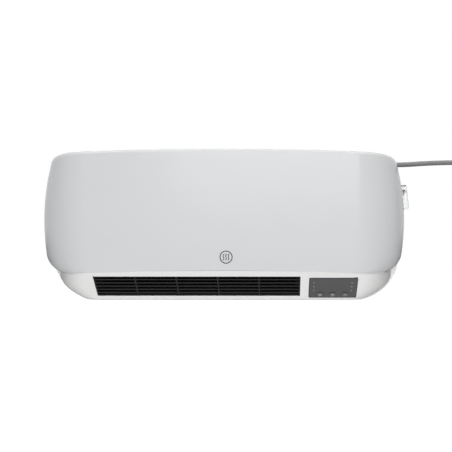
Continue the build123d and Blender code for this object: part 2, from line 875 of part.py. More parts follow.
# Outlet grille: a black moulded frame with level slats and upright ribs
grille_middle = ((grille_left + grille_right) / 2, -(grille_top + grille_bottom) / 2)
frame_width = grille_right - grille_left - 2 * slide_gap
frame_length = grille_bottom - grille_top - 2 * slide_gap
with BuildPart() as outlet_grille:
    with BuildSketch(slope_plane(grille_frame_depth)):
        with Locations(grille_middle):
            Rectangle(frame_width, frame_length)
            Rectangle(frame_width - 2 * grille_rim, frame_length - 2 * grille_rim, mode=Mode.SUBTRACT)
    extrude(amount=grille_frame_depth)
    # Flange that seats on the back of the frame's wall
    with BuildSketch(slope_plane(wall + grille_flange)):
        with Locations(grille_middle):
            Rectangle(frame_width + 2 * grille_rim, frame_length + 2 * grille_rim)
            Rectangle(frame_width - 2 * grille_rim, frame_length - 2 * grille_rim, mode=Mode.SUBTRACT)
    extrude(amount=grille_flange)
    # Upright ribs between the bays
    bay = (grille_right - grille_left) / grille_bays
    for rib in range(1, grille_bays):
        add(
            slope_box(
                grille_left + rib * bay - grille_rib / 2,
                grille_left + rib * bay + grille_rib / 2,
                grille_top + grille_rim,
                grille_bottom - grille_rim,
                rib_inset,
                grille_frame_depth,
            )
        )
    # Level slats
    for slat in range(1, grille_gaps):
        nose_down = grille_top + slat * (grille_bottom - grille_top) / grille_gaps
        nose_depth, nose_height = slope_point(nose_down, slat_inset)
        with BuildSketch(side_plane(grille_right - grille_rim)):
            with BuildLine():
                Polyline(
                    (nose_depth + slat_thickness / 2, nose_height + slat_thickness / 2),
                    (nose_depth - slat_depth, nose_height + slat_thickness / 2),
                    (nose_depth - slat_depth, nose_height - slat_thickness / 2),
                    (nose_depth - slat_thickness / 2, nose_height - slat_thickness / 2),
                    close=True,
                )
            make_face()
        extrude(amount=grille_right - grille_left - 2 * grille_rim)
save("outlet_grille", outlet_grille.part)

# Control panel
with BuildPart() as control_panel:
    with BuildSketch(slope_plane(panel_thickness - panel_proud)):
        with Locations((panel_centre_x, -(panel_top + panel_bottom) / 2)):
            RectangleRounded(panel_width, panel_bottom - panel_top, panel_corner_r)
        with Locations(*[(x, -button_row) for x in button_xs]):
            Circle(button_r + slide_gap, mode=Mode.SUBTRACT)
        with Locations(*lamp_spots):
            Circle(lamp_r, mode=Mode.SUBTRACT)
    extrude(amount=panel_thickness)
save("control_panel", control_panel.part)

with BuildPart() as indicator_lights:
    with BuildSketch(slope_plane(board_inset)):
        with Locations(*lamp_spots):
            Circle(lamp_r)
    extrude(amount=board_inset + panel_proud)
save("indicator_lights", indicator_lights.part)

with BuildPart() as display_board:
    with BuildSketch(slope_plane(board_inset + board_thickness)):
        with Locations((panel_centre_x, -(panel_top + panel_bottom) / 2)):
            Rectangle(panel_width + post_r, panel_bottom - panel_top)
    extrude(amount=board_thickness)
save("display_board", display_board.part)

with BuildPart() as tact_switches:
    with BuildSketch(slope_plane(board_inset)):
        with Locations(*[(x, -button_row) for x in button_xs]):
            Rectangle(tact_size, tact_size)
    extrude(amount=tact_height)
    with BuildSketch(slope_plane(board_inset - tact_height + button_travel + plunger_height + slide_gap)):
        with Locations(*[(x, -button_row) for x in button_xs]):
            Circle(plunger_r + slide_gap)
    extrude(amount=tact_height, mode=Mode.SUBTRACT)
save("tact_switches", tact_switches.part)

# Push buttons and the plungers that they press
plunger_inset = board_inset - tact_height - plunger_height
for button_name, button_x in zip(("left", "middle", "right"), button_xs):
    with BuildPart() as button:
        with BuildSketch(slope_plane(panel_thickness - panel_proud)):
            with Locations((button_x, -button_row)):
                Circle(button_r)
        extrude(amount=panel_thickness - panel_proud + button_proud)
        fillet(button.edges().filter_by(GeomType.CIRCLE).sort_by(Axis.Y)[0], button_proud / 2)
        with BuildSketch(slope_plane(panel_thickness - panel_proud + button_flange_thickness)):
            with Locations((button_x, -button_row)):
                Circle(button_flange_r)
        extrude(amount=button_flange_thickness)
        with BuildSketch(slope_plane(plunger_inset)):
            with Locations((button_x, -button_row)):
                Circle(plunger_r + slide_gap)
        extrude(amount=plunger_inset - panel_thickness)
    save(f"{button_name}_button", button.part)

    with BuildPart() as plunger:
        with BuildSketch(slope_plane(board_inset - tact_height + plunger_height)):
            with Locations((button_x, -button_row)):
                Circle(plunger_r)
        extrude(amount=2 * plunger_height)
    save(f"{button_name}_plunger", plunger.part)

# Cross-flow fan
duct_left, duct_right = grille_left - duct_margin, grille_right
fan_left, fan_right = duct_left + fan_end_gap, duct_right - fan_end_gap
section_length = (fan_right - fan_left - disc_thickness) / fan_sections
root_r = fan_r - blade_length
with BuildPart() as fan_drum:
    with BuildSketch(side_plane(fan_right)):
        for blade in range(fan_blades):
            turn = 360 * blade / fan_blades
            with BuildLine() as camber:
                start = Vector(root_r, 0).rotate(Axis.Z, turn)
                middle = Vector(fan_r - blade_length / 2, -blade_camber).rotate(Axis.Z, turn)
                end = Vector(fan_r - blade_tip_gap, blade_sweep).rotate(Axis.Z, turn)
                ThreePointArc(
                    (fan_depth + start.X, fan_height + start.Y),
                    (fan_depth + middle.X, fan_height + middle.Y),
                    (fan_depth + end.X, fan_height + end.Y),
                )
            trace(camber.line, line_width=blade_thickness)
    extrude(amount=fan_right - fan_left)
    for disc in range(fan_sections + 1):
        with BuildSketch(side_plane(fan_left + disc_thickness + disc * section_length)):
            with Locations((fan_depth, fan_height)):
                Circle(fan_r)
                if 0 < disc < fan_sections:
                    Circle(root_r - blade_thickness, mode=Mode.SUBTRACT)
        extrude(amount=disc_thickness)
    # Hubs inside the end discs, and the bore through both
    for hub_end in (fan_left + hub_length, fan_right):
        with BuildSketch(side_plane(hub_end)):
            with Locations((fan_depth, fan_height)):
                Circle(hub_r)
        extrude(amount=hub_length)
    for hub_end in (fan_left + hub_length, fan_right):
        with BuildSketch(side_plane(hub_end)):
            with Locations((fan_depth, fan_height)):
                Circle(shaft_r)
        extrude(amount=hub_length, mode=Mode.SUBTRACT)
save("fan_drum", fan_drum.part)

bush_right = duct_right + bush_length
with BuildPart() as fan_shaft:
    with BuildSketch(side_plane(bush_right - shaft_end_gap)):
        with Locations((fan_depth, fan_height)):
            Circle(shaft_r)
    extrude(amount=bush_right - shaft_end_gap - (fan_right - hub_length))
save("fan_shaft", fan_shaft.part)

with BuildPart() as bearing_bush:
    with BuildSketch(side_plane(bush_right)):
        with Locations((fan_depth, fan_height)):
            Circle(bush_r)
            Circle(shaft_r + turn_gap, mode=Mode.SUBTRACT)
    extrude(amount=bush_length)
save("bearing_bush", bearing_bush.part)

# Duct walls and end plates around the blower and the heating element
heater_mid = slope_point(heater_centre, heater_inset)
duct_half = heater_height / 2 + cap_margin + fit_gap + scroll_thickness / 2
duct_back = heater_inset + heater_thickness / 2 + cap_margin + fit_gap
duct_front = grille_frame_depth + fit_gap
duct_low_back = slope_point(heater_centre + duct_half, duct_back)
duct_high_back = slope_point(heater_centre - duct_half, duct_back)
duct_low_front = slope_point(heater_centre + duct_half, duct_front)
duct_high_front = slope_point(heater_centre - duct_half, duct_front)
scroll_back = fan_depth - fan_r - scroll_gap

with BuildPart() as blower_scroll:
    with BuildSketch(side_plane(duct_right)):
        with BuildLine() as scroll_line:
            scroll_arc = ThreePointArc(
                (scroll_back + 2 * wall + scroll_gap, fan_height + fan_r + wall),
                (scroll_back, fan_height),
                (scroll_back + 2 * wall + scroll_gap, fan_height - fan_r - scroll_gap),
            )
            Line(scroll_arc @ 1, duct_low_back)
            Line(duct_low_back, duct_low_front)
        trace(scroll_line.line, line_width=scroll_thickness)
    extrude(amount=duct_right - duct_left)
    # Rib that stands on the rear housing
    with BuildSketch(side_plane(duct_right)):
        with Locations((wall, fan_height)):
            Rectangle(scroll_back - wall, scroll_thickness, align=(Align.MIN, Align.MIN))
    extrude(amount=duct_right - duct_left)
save("blower_scroll", blower_scroll.part)

tongue_depth = fan_depth + fan_r + tongue_gap
with BuildPart() as blower_tongue:
    with BuildSketch(side_plane(duct_right)):
        with BuildLine() as tongue_line:
            Polyline(
                (tongue_depth - tongue_tip[0], fan_height - tongue_tip[1]),
                (tongue_depth, fan_height - tongue_low),
                (tongue_depth, duct_high_back[1] + tongue_drop),
                duct_high_back,
                duct_high_front,
            )
        trace(tongue_line.line, line_width=scroll_thickness)
    extrude(amount=duct_right - duct_left)
save("blower_tongue", blower_tongue.part)


def end_plate(x_right):
    """One end plate of the blower and duct, with two feet on the rear housing."""
    low_front = slope_point(heater_centre + duct_half + scroll_thickness, duct_front)
    high_front = slope_point(heater_centre - duct_half - scroll_thickness, duct_front)
    low_back = slope_point(heater_centre + duct_half + scroll_thickness, duct_back)
    with BuildPart() as plate:
        with BuildSketch(side_plane(x_right)):
            with BuildLine():
                Polyline(
                    (scroll_back - wall, fan_height + fan_r + tongue_gap),
                    (tongue_depth, fan_height + fan_r + tongue_gap),
                    (tongue_depth + wall, fan_height),
                    (tongue_depth + wall, duct_high_back[1] + tongue_drop),
                    high_front,
                    low_front,
                    low_back,
                    (scroll_back + scroll_gap, fan_height - fan_r - scroll_gap),
                    (scroll_back - wall, fan_height),
                    close=True,
                )
            make_face()
            for foot_height in (fan_height - foot_low, fan_height + foot_high):
                with Locations((wall, foot_height)):
                    Rectangle(fan_depth - fan_r, foot_width, align=(Align.MIN, Align.CENTER))
            # Window for the heating element's end cap
            with Locations(heater_mid):
                Rectangle(
                    heater_thickness + 2 * (cap_margin + slide_gap),
                    heater_height + 2 * (cap_margin + slide_gap),
                    rotation=-slope_angle,
                    mode=Mode.SUBTRACT,
                )
        extrude(amount=plate_thickness)
    return plate.part


motor_spots = [(fan_depth - motor_screw_offset, fan_height), (fan_depth + motor_screw_offset, fan_height)]
with BuildPart() as left_end_plate:
    add(end_plate(duct_left))
    with BuildSketch(side_plane(duct_left - plate_thickness)):
        with Locations(*motor_spots):
            Circle(post_r)
    extrude(amount=standoff_length)
    with BuildSketch(side_plane(duct_left)):
        with Locations((fan_depth, fan_height)):
            Circle(hub_r + wall / 2)
        with Locations(*motor_spots):
            Circle(motor_screw_r)
    extrude(amount=standoff_length + plate_thickness, mode=Mode.SUBTRACT)
save("left_end_plate", left_end_plate.part)

with BuildPart() as right_end_plate:
    add(end_plate(duct_right + plate_thickness))
    with BuildSketch(side_plane(bush_right)):
        with Locations((fan_depth, fan_height)):
            Circle(bush_r + plate_thickness)
    extrude(amount=bush_length)
    with BuildSketch(side_plane(bush_right)):
        with Locations((fan_depth, fan_height)):
            Circle(bush_r)
    extrude(amount=bush_length, mode=Mode.SUBTRACT)
save("right_end_plate", right_end_plate.part)

# Heating element: ceramic bars with aluminium fins, between two end caps
core_left, core_right = duct_left + core_margin, duct_right - core_margin
with BuildPart() as heater_core:
    with BuildSketch(slope_plane(heater_inset + heater_thickness / 2)):
        with Locations(((core_left + core_right) / 2, -heater_centre)):
            Rectangle(core_right - core_left, heater_height)
            cell_x = (core_right - core_left - heater_web) / heater_columns
            cell_y = (heater_height - heater_bar) / heater_rows
            with GridLocations(cell_x, cell_y, heater_columns, heater_rows):
                Rectangle(cell_x - heater_web, cell_y - heater_bar, mode=Mode.SUBTRACT)
    extrude(amount=heater_thickness)
save("heater_core", heater_core.part)

for cap_name, cap_left, cap_right in (
    ("left", core_left - heater_cap, core_left),
    ("right", core_right, core_right + heater_cap),
):
    with BuildPart() as heater_end_cap:
        add(
            slope_box(
                cap_left,
                cap_right,
                heater_centre - heater_height / 2 - cap_margin,
                heater_centre + heater_height / 2 + cap_margin,
                heater_inset - heater_thickness / 2 - cap_margin,
                heater_inset + heater_thickness / 2 + cap_margin,
            )
        )
    save(f"heater_{cap_name}_cap", heater_end_cap.part)

with BuildPart() as heater_tabs:
    for tab_row in tab_rows:
        add(
            slope_box(
                core_left - heater_cap - tab_length,
                core_left - heater_cap,
                heater_centre + tab_row - tab_width / 2,
                heater_centre + tab_row + tab_width / 2,
                heater_inset - tab_thickness / 2,
                heater_inset + tab_thickness / 2,
            )
        )
save("heater_tabs", heater_tabs.part)

# Thermal cut-out and thermal fuse on the front of the duct
guard_height = fan_height - tongue_low - cutout_r - fit_gap
guard_depth = tongue_depth + scroll_thickness / 2
with BuildPart() as thermal_cutout:
    with BuildSketch(front_plane(guard_depth)):
        with Locations((cutout_x, guard_height)):
            Circle(cutout_r)
            Rectangle(3 * cutout_r, cutout_r)
    extrude(amount=cutout_base)
    with BuildSketch(front_plane(guard_depth + cutout_base)):
        with Locations((cutout_x, guard_height)):
            Circle(cutout_r - fit_gap)
    extrude(amount=cutout_thickness - cutout_base)
save("thermal_cutout", thermal_cutout.part)

with BuildPart() as thermal_fuse:
    with BuildSketch(side_plane(fuse_x + fuse_length / 2)):
        with Locations((guard_depth + fuse_r, guard_height)):
            Circle(fuse_r)
    extrude(amount=fuse_length)
    with BuildSketch(side_plane(fuse_x + fuse_length)):
        with Locations((guard_depth + fuse_r, guard_height)):
            Circle(fuse_r / 4)
    extrude(amount=2 * fuse_length)
save("thermal_fuse", thermal_fuse.part)

# Motor: laminated stack, coil, rotor with its shaft, and two bearing brackets
standoff_left = duct_left - plate_thickness - standoff_length
stack_right = standoff_left - bracket_thickness - bracket_gap
stack_left = stack_right - stack_length
window_height = stack_bottom - 2 * stack_leg - bore_r
with BuildPart() as motor_stack:
    with BuildSketch(side_plane(stack_right)):
        with Locations((fan_depth, fan_height - stack_bottom)):
            Rectangle(stack_width, stack_top + stack_bottom, align=(Align.CENTER, Align.MIN))
        with Locations((fan_depth, fan_height - stack_bottom + stack_leg)):
            Rectangle(window_width, window_height, align=(Align.CENTER, Align.MIN), mode=Mode.SUBTRACT)
        with Locations((fan_depth, fan_height)):
            Circle(bore_r, mode=Mode.SUBTRACT)
        with Locations(*motor_spots):
            Circle(motor_screw_r, mode=Mode.SUBTRACT)
    extrude(amount=stack_length)
save("motor_stack", motor_stack.part)

# Coil on its bobbin round the bottom leg of the stack
with BuildPart() as motor_coil:
    with BuildSketch(side_plane(stack_right + coil_end)):
        with Locations((fan_depth, fan_height - stack_bottom + stack_leg / 2)):
            Rectangle(window_width - 2 * fit_gap, stack_leg + 2 * (window_height - 2 * fit_gap))
    extrude(amount=stack_length + 2 * coil_end)
    fillet(motor_coil.edges().filter_by(Axis.Z), coil_end / 3)
    with BuildSketch(side_plane(stack_right + fit_gap)):
        with Locations((fan_depth, fan_height - stack_bottom + stack_leg / 2)):
            Rectangle(stack_width, stack_leg + fit_gap)
    extrude(amount=stack_length + 2 * fit_gap, mode=Mode.SUBTRACT)
save("motor_coil", motor_coil.part)

with BuildPart() as motor_rotor:
    with BuildSketch(side_plane(stack_right)):
        with Locations((fan_depth, fan_height)):
            Circle(bore_r - rotor_gap)
    extrude(amount=stack_length)
    with BuildSketch(side_plane(fan_left + hub_length)):
        with Locations((fan_depth, fan_height)):
            Circle(shaft_r)
    extrude(amount=fan_left + hub_length - stack_left + 2 * bracket_gap + bracket_thickness)
save("motor_rotor", motor_rotor.part)

for bracket_name, strap_right, gap_side in (
    ("inner", standoff_left, -1),
    ("outer", stack_left - bracket_gap, 1),
):
    with BuildPart() as motor_bracket:
        with BuildSketch(side_plane(strap_right)):
            with Locations((fan_depth, fan_height)):
                Rectangle(stack_width, bracket_height)
        extrude(amount=bracket_thickness)
        foot_right = strap_right - bracket_thickness if gap_side < 0 else strap_right + bracket_gap
        with BuildSketch(side_plane(foot_right)):
            with Locations(*motor_spots):
                Circle(post_r)
        extrude(amount=bracket_gap)
        with BuildSketch(side_plane(strap_right + bracket_gap)):
            with Locations((fan_depth, fan_height)):
                Circle(shaft_r + turn_gap)
            with Locations(*motor_spots):
                Circle(motor_screw_r)
        extrude(amount=bracket_thickness + 2 * bracket_gap, mode=Mode.SUBTRACT)
    save(f"motor_{bracket_name}_bracket", motor_bracket.part)

with BuildPart() as motor_screws:
    screw_left = stack_left - bracket_gap - bracket_thickness
    with BuildSketch(side_plane(duct_left)):
        with Locations(*motor_spots):
            Circle(motor_screw_r)
    extrude(amount=duct_left - screw_left)
    with BuildSketch(side_plane(screw_left)):
        with Locations(*motor_spots):
            Circle(post_head_r)
    extrude(amount=bracket_thickness)
save("motor_screws", motor_screws.part)

# Power board with its screws, relays, capacitor and terminal block
board_face = board_depth + board_thickness
with BuildPart() as power_board:
    with BuildSketch(front_plane(board_depth)):
        with Locations(((board_left + board_right) / 2, (board_low + board_high) / 2)):
            Rectangle(board_right - board_left, board_high - board_low)
        with Locations(*board_screw_spots):
            Circle(inner_screw_r + fit_gap, mode=Mode.SUBTRACT)
    extrude(amount=board_thickness)
save("power_board", power_board.part)

with BuildPart() as board_screws:
    with BuildSketch(front_plane(board_face)):
        with Locations(*board_screw_spots):
            Circle(inner_screw_r)
    extrude(amount=-inner_screw_length)
    with BuildSketch(front_plane(board_face)):
        with Locations(*board_screw_spots):
            Circle(inner_head_r)
    extrude(amount=inner_head)
save("board_screws", board_screws.part)

with BuildPart() as relays:
    with BuildSketch(front_plane(board_face)):
        with Locations(*[(board_left + x, board_low + height) for x, height in relay_spots]):
            Rectangle(relay_size[0], relay_size[1])
    extrude(amount=relay_size[2])
save("relays", relays.part)

with BuildPart() as board_capacitor:
    with BuildSketch(front_plane(board_face)):
        with Locations((board_left + capacitor_spot[0], board_low + capacitor_spot[1])):
            Rectangle(capacitor_size[0], capacitor_size[1])
    extrude(amount=capacitor_size[2])
    fillet(board_capacitor.edges().filter_by(Axis.Y), capacitor_edge_r)
save("board_capacitor", board_capacitor.part)

block_x, block_height = board_left + block_spot[0], board_low + block_spot[1]
with BuildPart() as terminal_block:
    with BuildSketch(front_plane(board_face)):
        with Locations((block_x, block_height)):
            Rectangle(block_size[0], block_size[1])
    extrude(amount=block_size[2])
    with BuildSketch(front_plane(board_face + block_size[2])):
        with Locations((block_x, block_height)):
            with GridLocations(block_pitch, 1, 3, 1):
                Circle(block_screw_r)
    extrude(amount=-block_size[2] / 2, mode=Mode.SUBTRACT)
save("terminal_block", terminal_block.part)

# Rocker switch in the cover's side, its rocker and the clear boot over it
with BuildPart() as rocker_switch:
    with BuildSketch(switch_plane(0)):
        Rectangle(bezel_width, bezel_length)
    extrude(amount=bezel_thickness)
    with BuildSketch(switch_plane(0)):
        Rectangle(switch_body_width, switch_body_length)
    extrude(amount=-switch_body_depth)
    with BuildSketch(switch_plane(bezel_thickness)):
        Rectangle(rocker_width + 2 * fit_gap, 2 * rocker_r + 2 * fit_gap)
    extrude(amount=-(switch_body_depth - wall), mode=Mode.SUBTRACT)
    with Locations(switch_plane(-rocker_pivot).location):
        Cylinder(
            trunnion_r + turn_gap,
            rocker_width + 2 * trunnion_reach,
            rotation=(0, 90, 0),
            mode=Mode.SUBTRACT,
        )
save("rocker_switch", rocker_switch.part)

with BuildPart() as switch_terminals:
    with BuildSketch(switch_plane(-switch_body_depth)):
        with GridLocations(*terminal_spacing, 2, 2):
            Rectangle(tab_thickness, tab_width)
    extrude(amount=-terminal_length)
save("switch_terminals", switch_terminals.part)


def rocker_point(angle):
    """A point on the rocker's end arc, at this angle from the switch's own upward direction."""
    return (rocker_r * cos(angle), -rocker_pivot + rocker_r * sin(angle))


# The raised facet meets the end arc where the facet's line crosses the arc's circle
rise = tan(radians(rocker_turn))
reach = rocker_hub + rocker_pivot
steep = 1 + rise**2
raised_y = (sqrt((rise * reach) ** 2 - steep * (reach**2 - rocker_r**2)) - rise * reach) / steep
raised = (raised_y, rocker_hub + rise * raised_y)
pressed = (-sqrt(rocker_r**2 - reach**2), rocker_hub)
seat_plane = switch_plane(0)
rocker_side = Plane(
    origin=seat_plane.origin + seat_plane.x_dir * (rocker_width / 2),
    x_dir=seat_plane.y_dir,
    z_dir=seat_plane.x_dir,
)
with BuildPart() as rocker:
    with BuildSketch(rocker_side):
        with BuildLine():
            Line((0, rocker_hub), raised)
            ThreePointArc(raised, rocker_point(-rocker_skirt / 2), rocker_point(-rocker_skirt))
            Polyline(rocker_point(-rocker_skirt), (0, -rocker_keel), rocker_point(pi + rocker_skirt))
            ThreePointArc(rocker_point(pi + rocker_skirt), rocker_point(pi), pressed)
            Line(pressed, (0, rocker_hub))
        make_face()
    extrude(amount=-rocker_width)
    with Locations(switch_plane(-rocker_pivot).location):
        Cylinder(trunnion_r, rocker_width + 2 * (trunnion_reach - fit_gap), rotation=(0, 90, 0))
save("rocker", rocker.part)

boot_length = bezel_length + 2 * (boot_wall + boot_clearance)
boot_width = bezel_width + 2 * (boot_wall + boot_clearance)
with BuildPart() as switch_boot:
    with BuildSketch(switch_plane(0)):
        RectangleRounded(boot_width, boot_length, boot_corner_r)
    extrude(amount=bezel_thickness + boot_wall)
    with BuildSketch(switch_plane(bezel_thickness)):
        RectangleRounded(boot_width, boot_length, boot_corner_r)
    extrude(amount=boot_height - bezel_thickness, taper=boot_taper)
    fillet(switch_boot.faces().sort_by(Axis.X)[-1].edges(), boot_edge_r)
    with BuildSketch(switch_plane(0)):
        Rectangle(bezel_width + 2 * boot_clearance, bezel_length + 2 * boot_clearance)
    extrude(amount=bezel_thickness, mode=Mode.SUBTRACT)
    with BuildSketch(switch_plane(bezel_thickness)):
        Rectangle(bezel_width - boot_wall, bezel_length - boot_wall)
    extrude(amount=boot_height - bezel_thickness - boot_wall, taper=boot_taper, mode=Mode.SUBTRACT)
save("switch_boot", switch_boot.part)


def room_point(x, depth, height):
    """A point in the part's frame from its x, its depth out of the wall and its height."""
    return (x, -depth, height - mount_height)


def route_bends(route):
    """Bend radius at each corner of a route, as large as the two runs beside it allow."""
    bends = []
    for before, corner, after in zip(route, route[1:], route[2:]):
        run_in, run_out = Vector(*corner) - Vector(*before), Vector(*after) - Vector(*corner)
        half_turn = radians(run_in.get_angle(run_out) / 2)
        bends.append(run_share * min(run_in.length, run_out.length) / tan(half_turn))
    return bends


def tube(name, route, radius):
    """A round tube along a route, with its length and its tightest bend printed."""
    with BuildPart() as bent:
        with BuildLine() as path:
            FilletPolyline(*route, radius=route_bends(route))
        with BuildSketch(Plane(origin=path.line @ 0, z_dir=path.line % 0)):
            Circle(radius)
        sweep()
    length = path.wire().length
    section = pi * radius**2
    print(f"{name}: {length:.1f} long, bends {[round(bend, 1) for bend in route_bends(route)]},")
    print(f"    volume over section times length {bent.part.volume / (section * length):.4f}")
    return bent.part


# Leads from the heating element and the motor, along lanes behind the blower to the power board
tab_x = core_left - heater_cap - tab_length
coil_end_x = stack_left - coil_end
lead_starts = [(tab_x, *slope_point(heater_centre + row, heater_inset)) for row in tab_rows]
for side in (-1, 1):
    lead_starts.append((coil_end_x, fan_depth + side * stack_leg, fan_height - stack_bottom + stack_leg / 2))
lead_turns = [tab_x - wire_depth - lane * 4 * wire_r for lane in range(len(tab_rows))]
lead_turns += [coil_end_x - 3 * wire_r, coil_end_x - 6 * wire_r]
lead_parts = []
for lane, ((start_x, start_depth, start_height), turn_x) in enumerate(zip(lead_starts, lead_turns)):
    lane_height = wire_lane + lane * wire_lane_pitch
    lead_parts.append(
        tube(
            f"inner lead {lane}",
            [
                room_point(start_x, start_depth, start_height),
                room_point(turn_x, start_depth, start_height),
                room_point(turn_x, rear_depth + wall, start_height),
                room_point(turn_x, wire_depth, lane_height - wire_arch),
                room_point(turn_x + wire_arch, wire_depth, lane_height),
                room_point(wire_end_x - 2 * wire_arch, wire_depth, lane_height),
                room_point(wire_end_x - wire_arch, board_face + wire_arch, lane_height),
                room_point(wire_end_x, board_face + wire_arch, lane_height),
                room_point(wire_end_x, board_face, lane_height),
            ],
            wire_r,
        )
    )
with BuildPart() as heater_leads:
    for lead in lead_parts[: len(tab_rows)]:
        add(lead)
save("heater_leads", heater_leads.part)

with BuildPart() as motor_leads:
    for lead in lead_parts[len(tab_rows) :]:
        add(lead)
save("motor_leads", motor_leads.part)

# Leads from the switch's lower terminals to the power board
with BuildPart() as switch_leads:
    for side in (-1, 1):
        terminal_spot = (side * terminal_spacing[0] / 2, -terminal_spacing[1] / 2, 0)
        terminal_out = -switch_body_depth - terminal_length
        start = switch_plane(terminal_out).from_local_coords(terminal_spot)
        knee = switch_plane(terminal_out - wire_arch / 2).from_local_coords(terminal_spot)
        foot_x = board_right - 2 * board_margin - side * board_margin
        foot_height = start.Z + mount_height - 2 * wire_arch
        add(
            tube(
                "switch lead",
                [
                    tuple(start),
                    tuple(knee),
                    room_point(foot_x, -start.Y - wire_arch / 2, foot_height + wire_arch),
                    room_point(foot_x, board_face + wire_arch, foot_height),
                    room_point(foot_x, board_face, foot_height),
                ],
                wire_r,
            )
        )
save("switch_leads", switch_leads.part)

# Gland: a neck through the notch's wall, a collar and a tapered sleeve round the lead
with BuildPart() as cord_gland:
    gland_spot = (-cord_depth, cord_height - mount_height)
    with BuildSketch(Plane.YZ.offset(notch_left - wall)):
        with Locations(gland_spot):
            Circle(gland_neck_r)
    extrude(amount=wall)
    with BuildSketch(Plane.YZ.offset(notch_left)):
        with Locations(gland_spot):
            Circle(gland_collar_r)
    extrude(amount=gland_collar)
    with BuildSketch(Plane.YZ.offset(notch_left + gland_collar)):
        with Locations(gland_spot):
            Circle(sleeve_root_r)
    with BuildSketch(Plane.YZ.offset(sleeve_end_x)):
        with Locations(gland_spot):
            Circle(sleeve_tip_r)
    loft()
    with BuildSketch(Plane.YZ.offset(notch_left - wall)):
        with Locations(gland_spot):
            Circle(cord_r + turn_gap)
    extrude(amount=sleeve_end_x - notch_left + wall, mode=Mode.SUBTRACT)
save("cord_gland", cord_gland.part)

# Sheathed end of the lead inside the case, and its three cores
sheath_x, sheath_height = notch_left - 26.0, block_height + sheath_rise
sheath_drop = cord_height - sheath_height
sheath_route = [
    room_point(sleeve_end_x, cord_depth, cord_height),
    room_point(sheath_x + 15.0, cord_depth, cord_height),
    room_point(sheath_x + 8.0, (cord_depth + sheath_depth) / 2, sheath_height + 0.7 * sheath_drop),
    room_point(sheath_x + 3.0, sheath_depth, sheath_height + 0.3 * sheath_drop),
    room_point(sheath_x, sheath_depth, sheath_height),
]
with BuildPart() as lead_sheath:
    add(tube("lead sheath", sheath_route, cord_r))
save("lead_sheath", lead_sheath.part)

with BuildPart() as lead_cores:
    for core, (start, knee) in enumerate(zip(core_starts, core_knees)):
        entry_x = block_x + (1 - core) * block_pitch
        knee_depth, knee_height = sheath_depth + knee[1], sheath_height + knee[2]
        add(
            tube(
                "lead core",
                [
                    room_point(sheath_x + start[0], sheath_depth + start[1], sheath_height + start[2]),
                    room_point(sheath_x + knee[0], knee_depth, knee_height),
                    room_point(entry_x, knee_depth, knee_height + fit_gap),
                    room_point(entry_x, knee_depth, block_height + block_size[1] / 2),
                ],
                wire_r,
            )
        )
save("lead_cores", lead_cores.part)

# Free stretch of the lead, along the wall to the right and down to the coil
cord_route = [
    room_point(sleeve_end_x, cord_depth, cord_height),
    room_point(236.0, cord_depth, cord_height),
    room_point(268.0, 11.3, 181.4),
    room_point(300.0, 11.2, 182.4),
    room_point(330.0, 10.4, 182.3),
    room_point(350.0, 8.0, 170.5),
    room_point(coil_left_x, coil_back_depth, 152.5),
    room_point(coil_left_x, coil_back_depth, coil_height + 2 * cord_r),
]
with BuildPart() as cord_lead:
    add(tube("cord lead", cord_route, cord_r))
save("cord_lead", cord_lead.part)

# Coil: half turns that spiral in along the wall, climb a layer, and spiral out in front
coil_ends = [(coil_left_x, coil_back_depth)]
for half_turn in range(coil_turns_in + 1 + coil_turns_out):
    steps_in = min(half_turn, 2 * coil_turns_in - half_turn)
    turn_r = coil_outer_r - steps_in * coil_radial_pitch / 2
    turn_depth = coil_back_depth + (coil_layer_pitch if half_turn >= coil_turns_in else 0)
    turn_side = 1 if half_turn % 2 == 0 else -1
    coil_ends.append((coil_ends[-1][0] + turn_side * 2 * turn_r, turn_depth))
with BuildPart() as cord_coil:
    with BuildLine() as coil_path:
        Line(
            room_point(coil_left_x, coil_back_depth, coil_height + 2 * cord_r),
            room_point(coil_left_x, coil_back_depth, coil_height),
        )
        for half_turn, ((x, depth), (next_x, next_depth)) in enumerate(zip(coil_ends, coil_ends[1:])):
            half_width = sqrt((next_x - x) ** 2 + (next_depth - depth) ** 2) / 2
            bulge = -half_width if half_turn % 2 == 0 else half_width
            ThreePointArc(
                room_point(x, depth, coil_height),
                room_point((x + next_x) / 2, (depth + next_depth) / 2, coil_height + bulge),
                room_point(next_x, next_depth, coil_height),
            )
        Line(
            room_point(*coil_ends[-1], coil_height),
            room_point(*coil_ends[-1], coil_height - 2 * cord_r),
        )
    with BuildSketch(Plane(origin=coil_path.line @ 0, z_dir=coil_path.line % 0)):
        Circle(cord_r)
    sweep()
save("cord_coil", cord_coil.part)

# Least gap between turns, from points along the half turns that are not neighbours
turn_points = [
    [edge.position_at(step / coil_samples) for step in range(coil_samples + 1)] for edge in coil_path.edges()
]
least_gap = min(
    (here - there).length - 2 * cord_r
    for first, points in enumerate(turn_points)
    for others in turn_points[first + 2 :]
    for here in points
    for there in others
)
print(f"cord coil: {coil_path.wire().length:.1f} long, least gap between turns {least_gap:.2f}")

# Free end of the lead and its plug, hanging below the coil
tail_x, tail_depth = coil_ends[-1]
tail_route = [
    room_point(tail_x, tail_depth, coil_height - 2 * cord_r),
    room_point(tail_x, tail_depth, coil_height - 2 * cord_r - tail_run),
    room_point(tail_x, plug_depth, plug_top + tail_run),
    room_point(tail_x, plug_depth, plug_top),
]
with BuildPart() as cord_tail:
    add(tube("cord tail", tail_route, cord_r))
save("cord_tail", cord_tail.part)

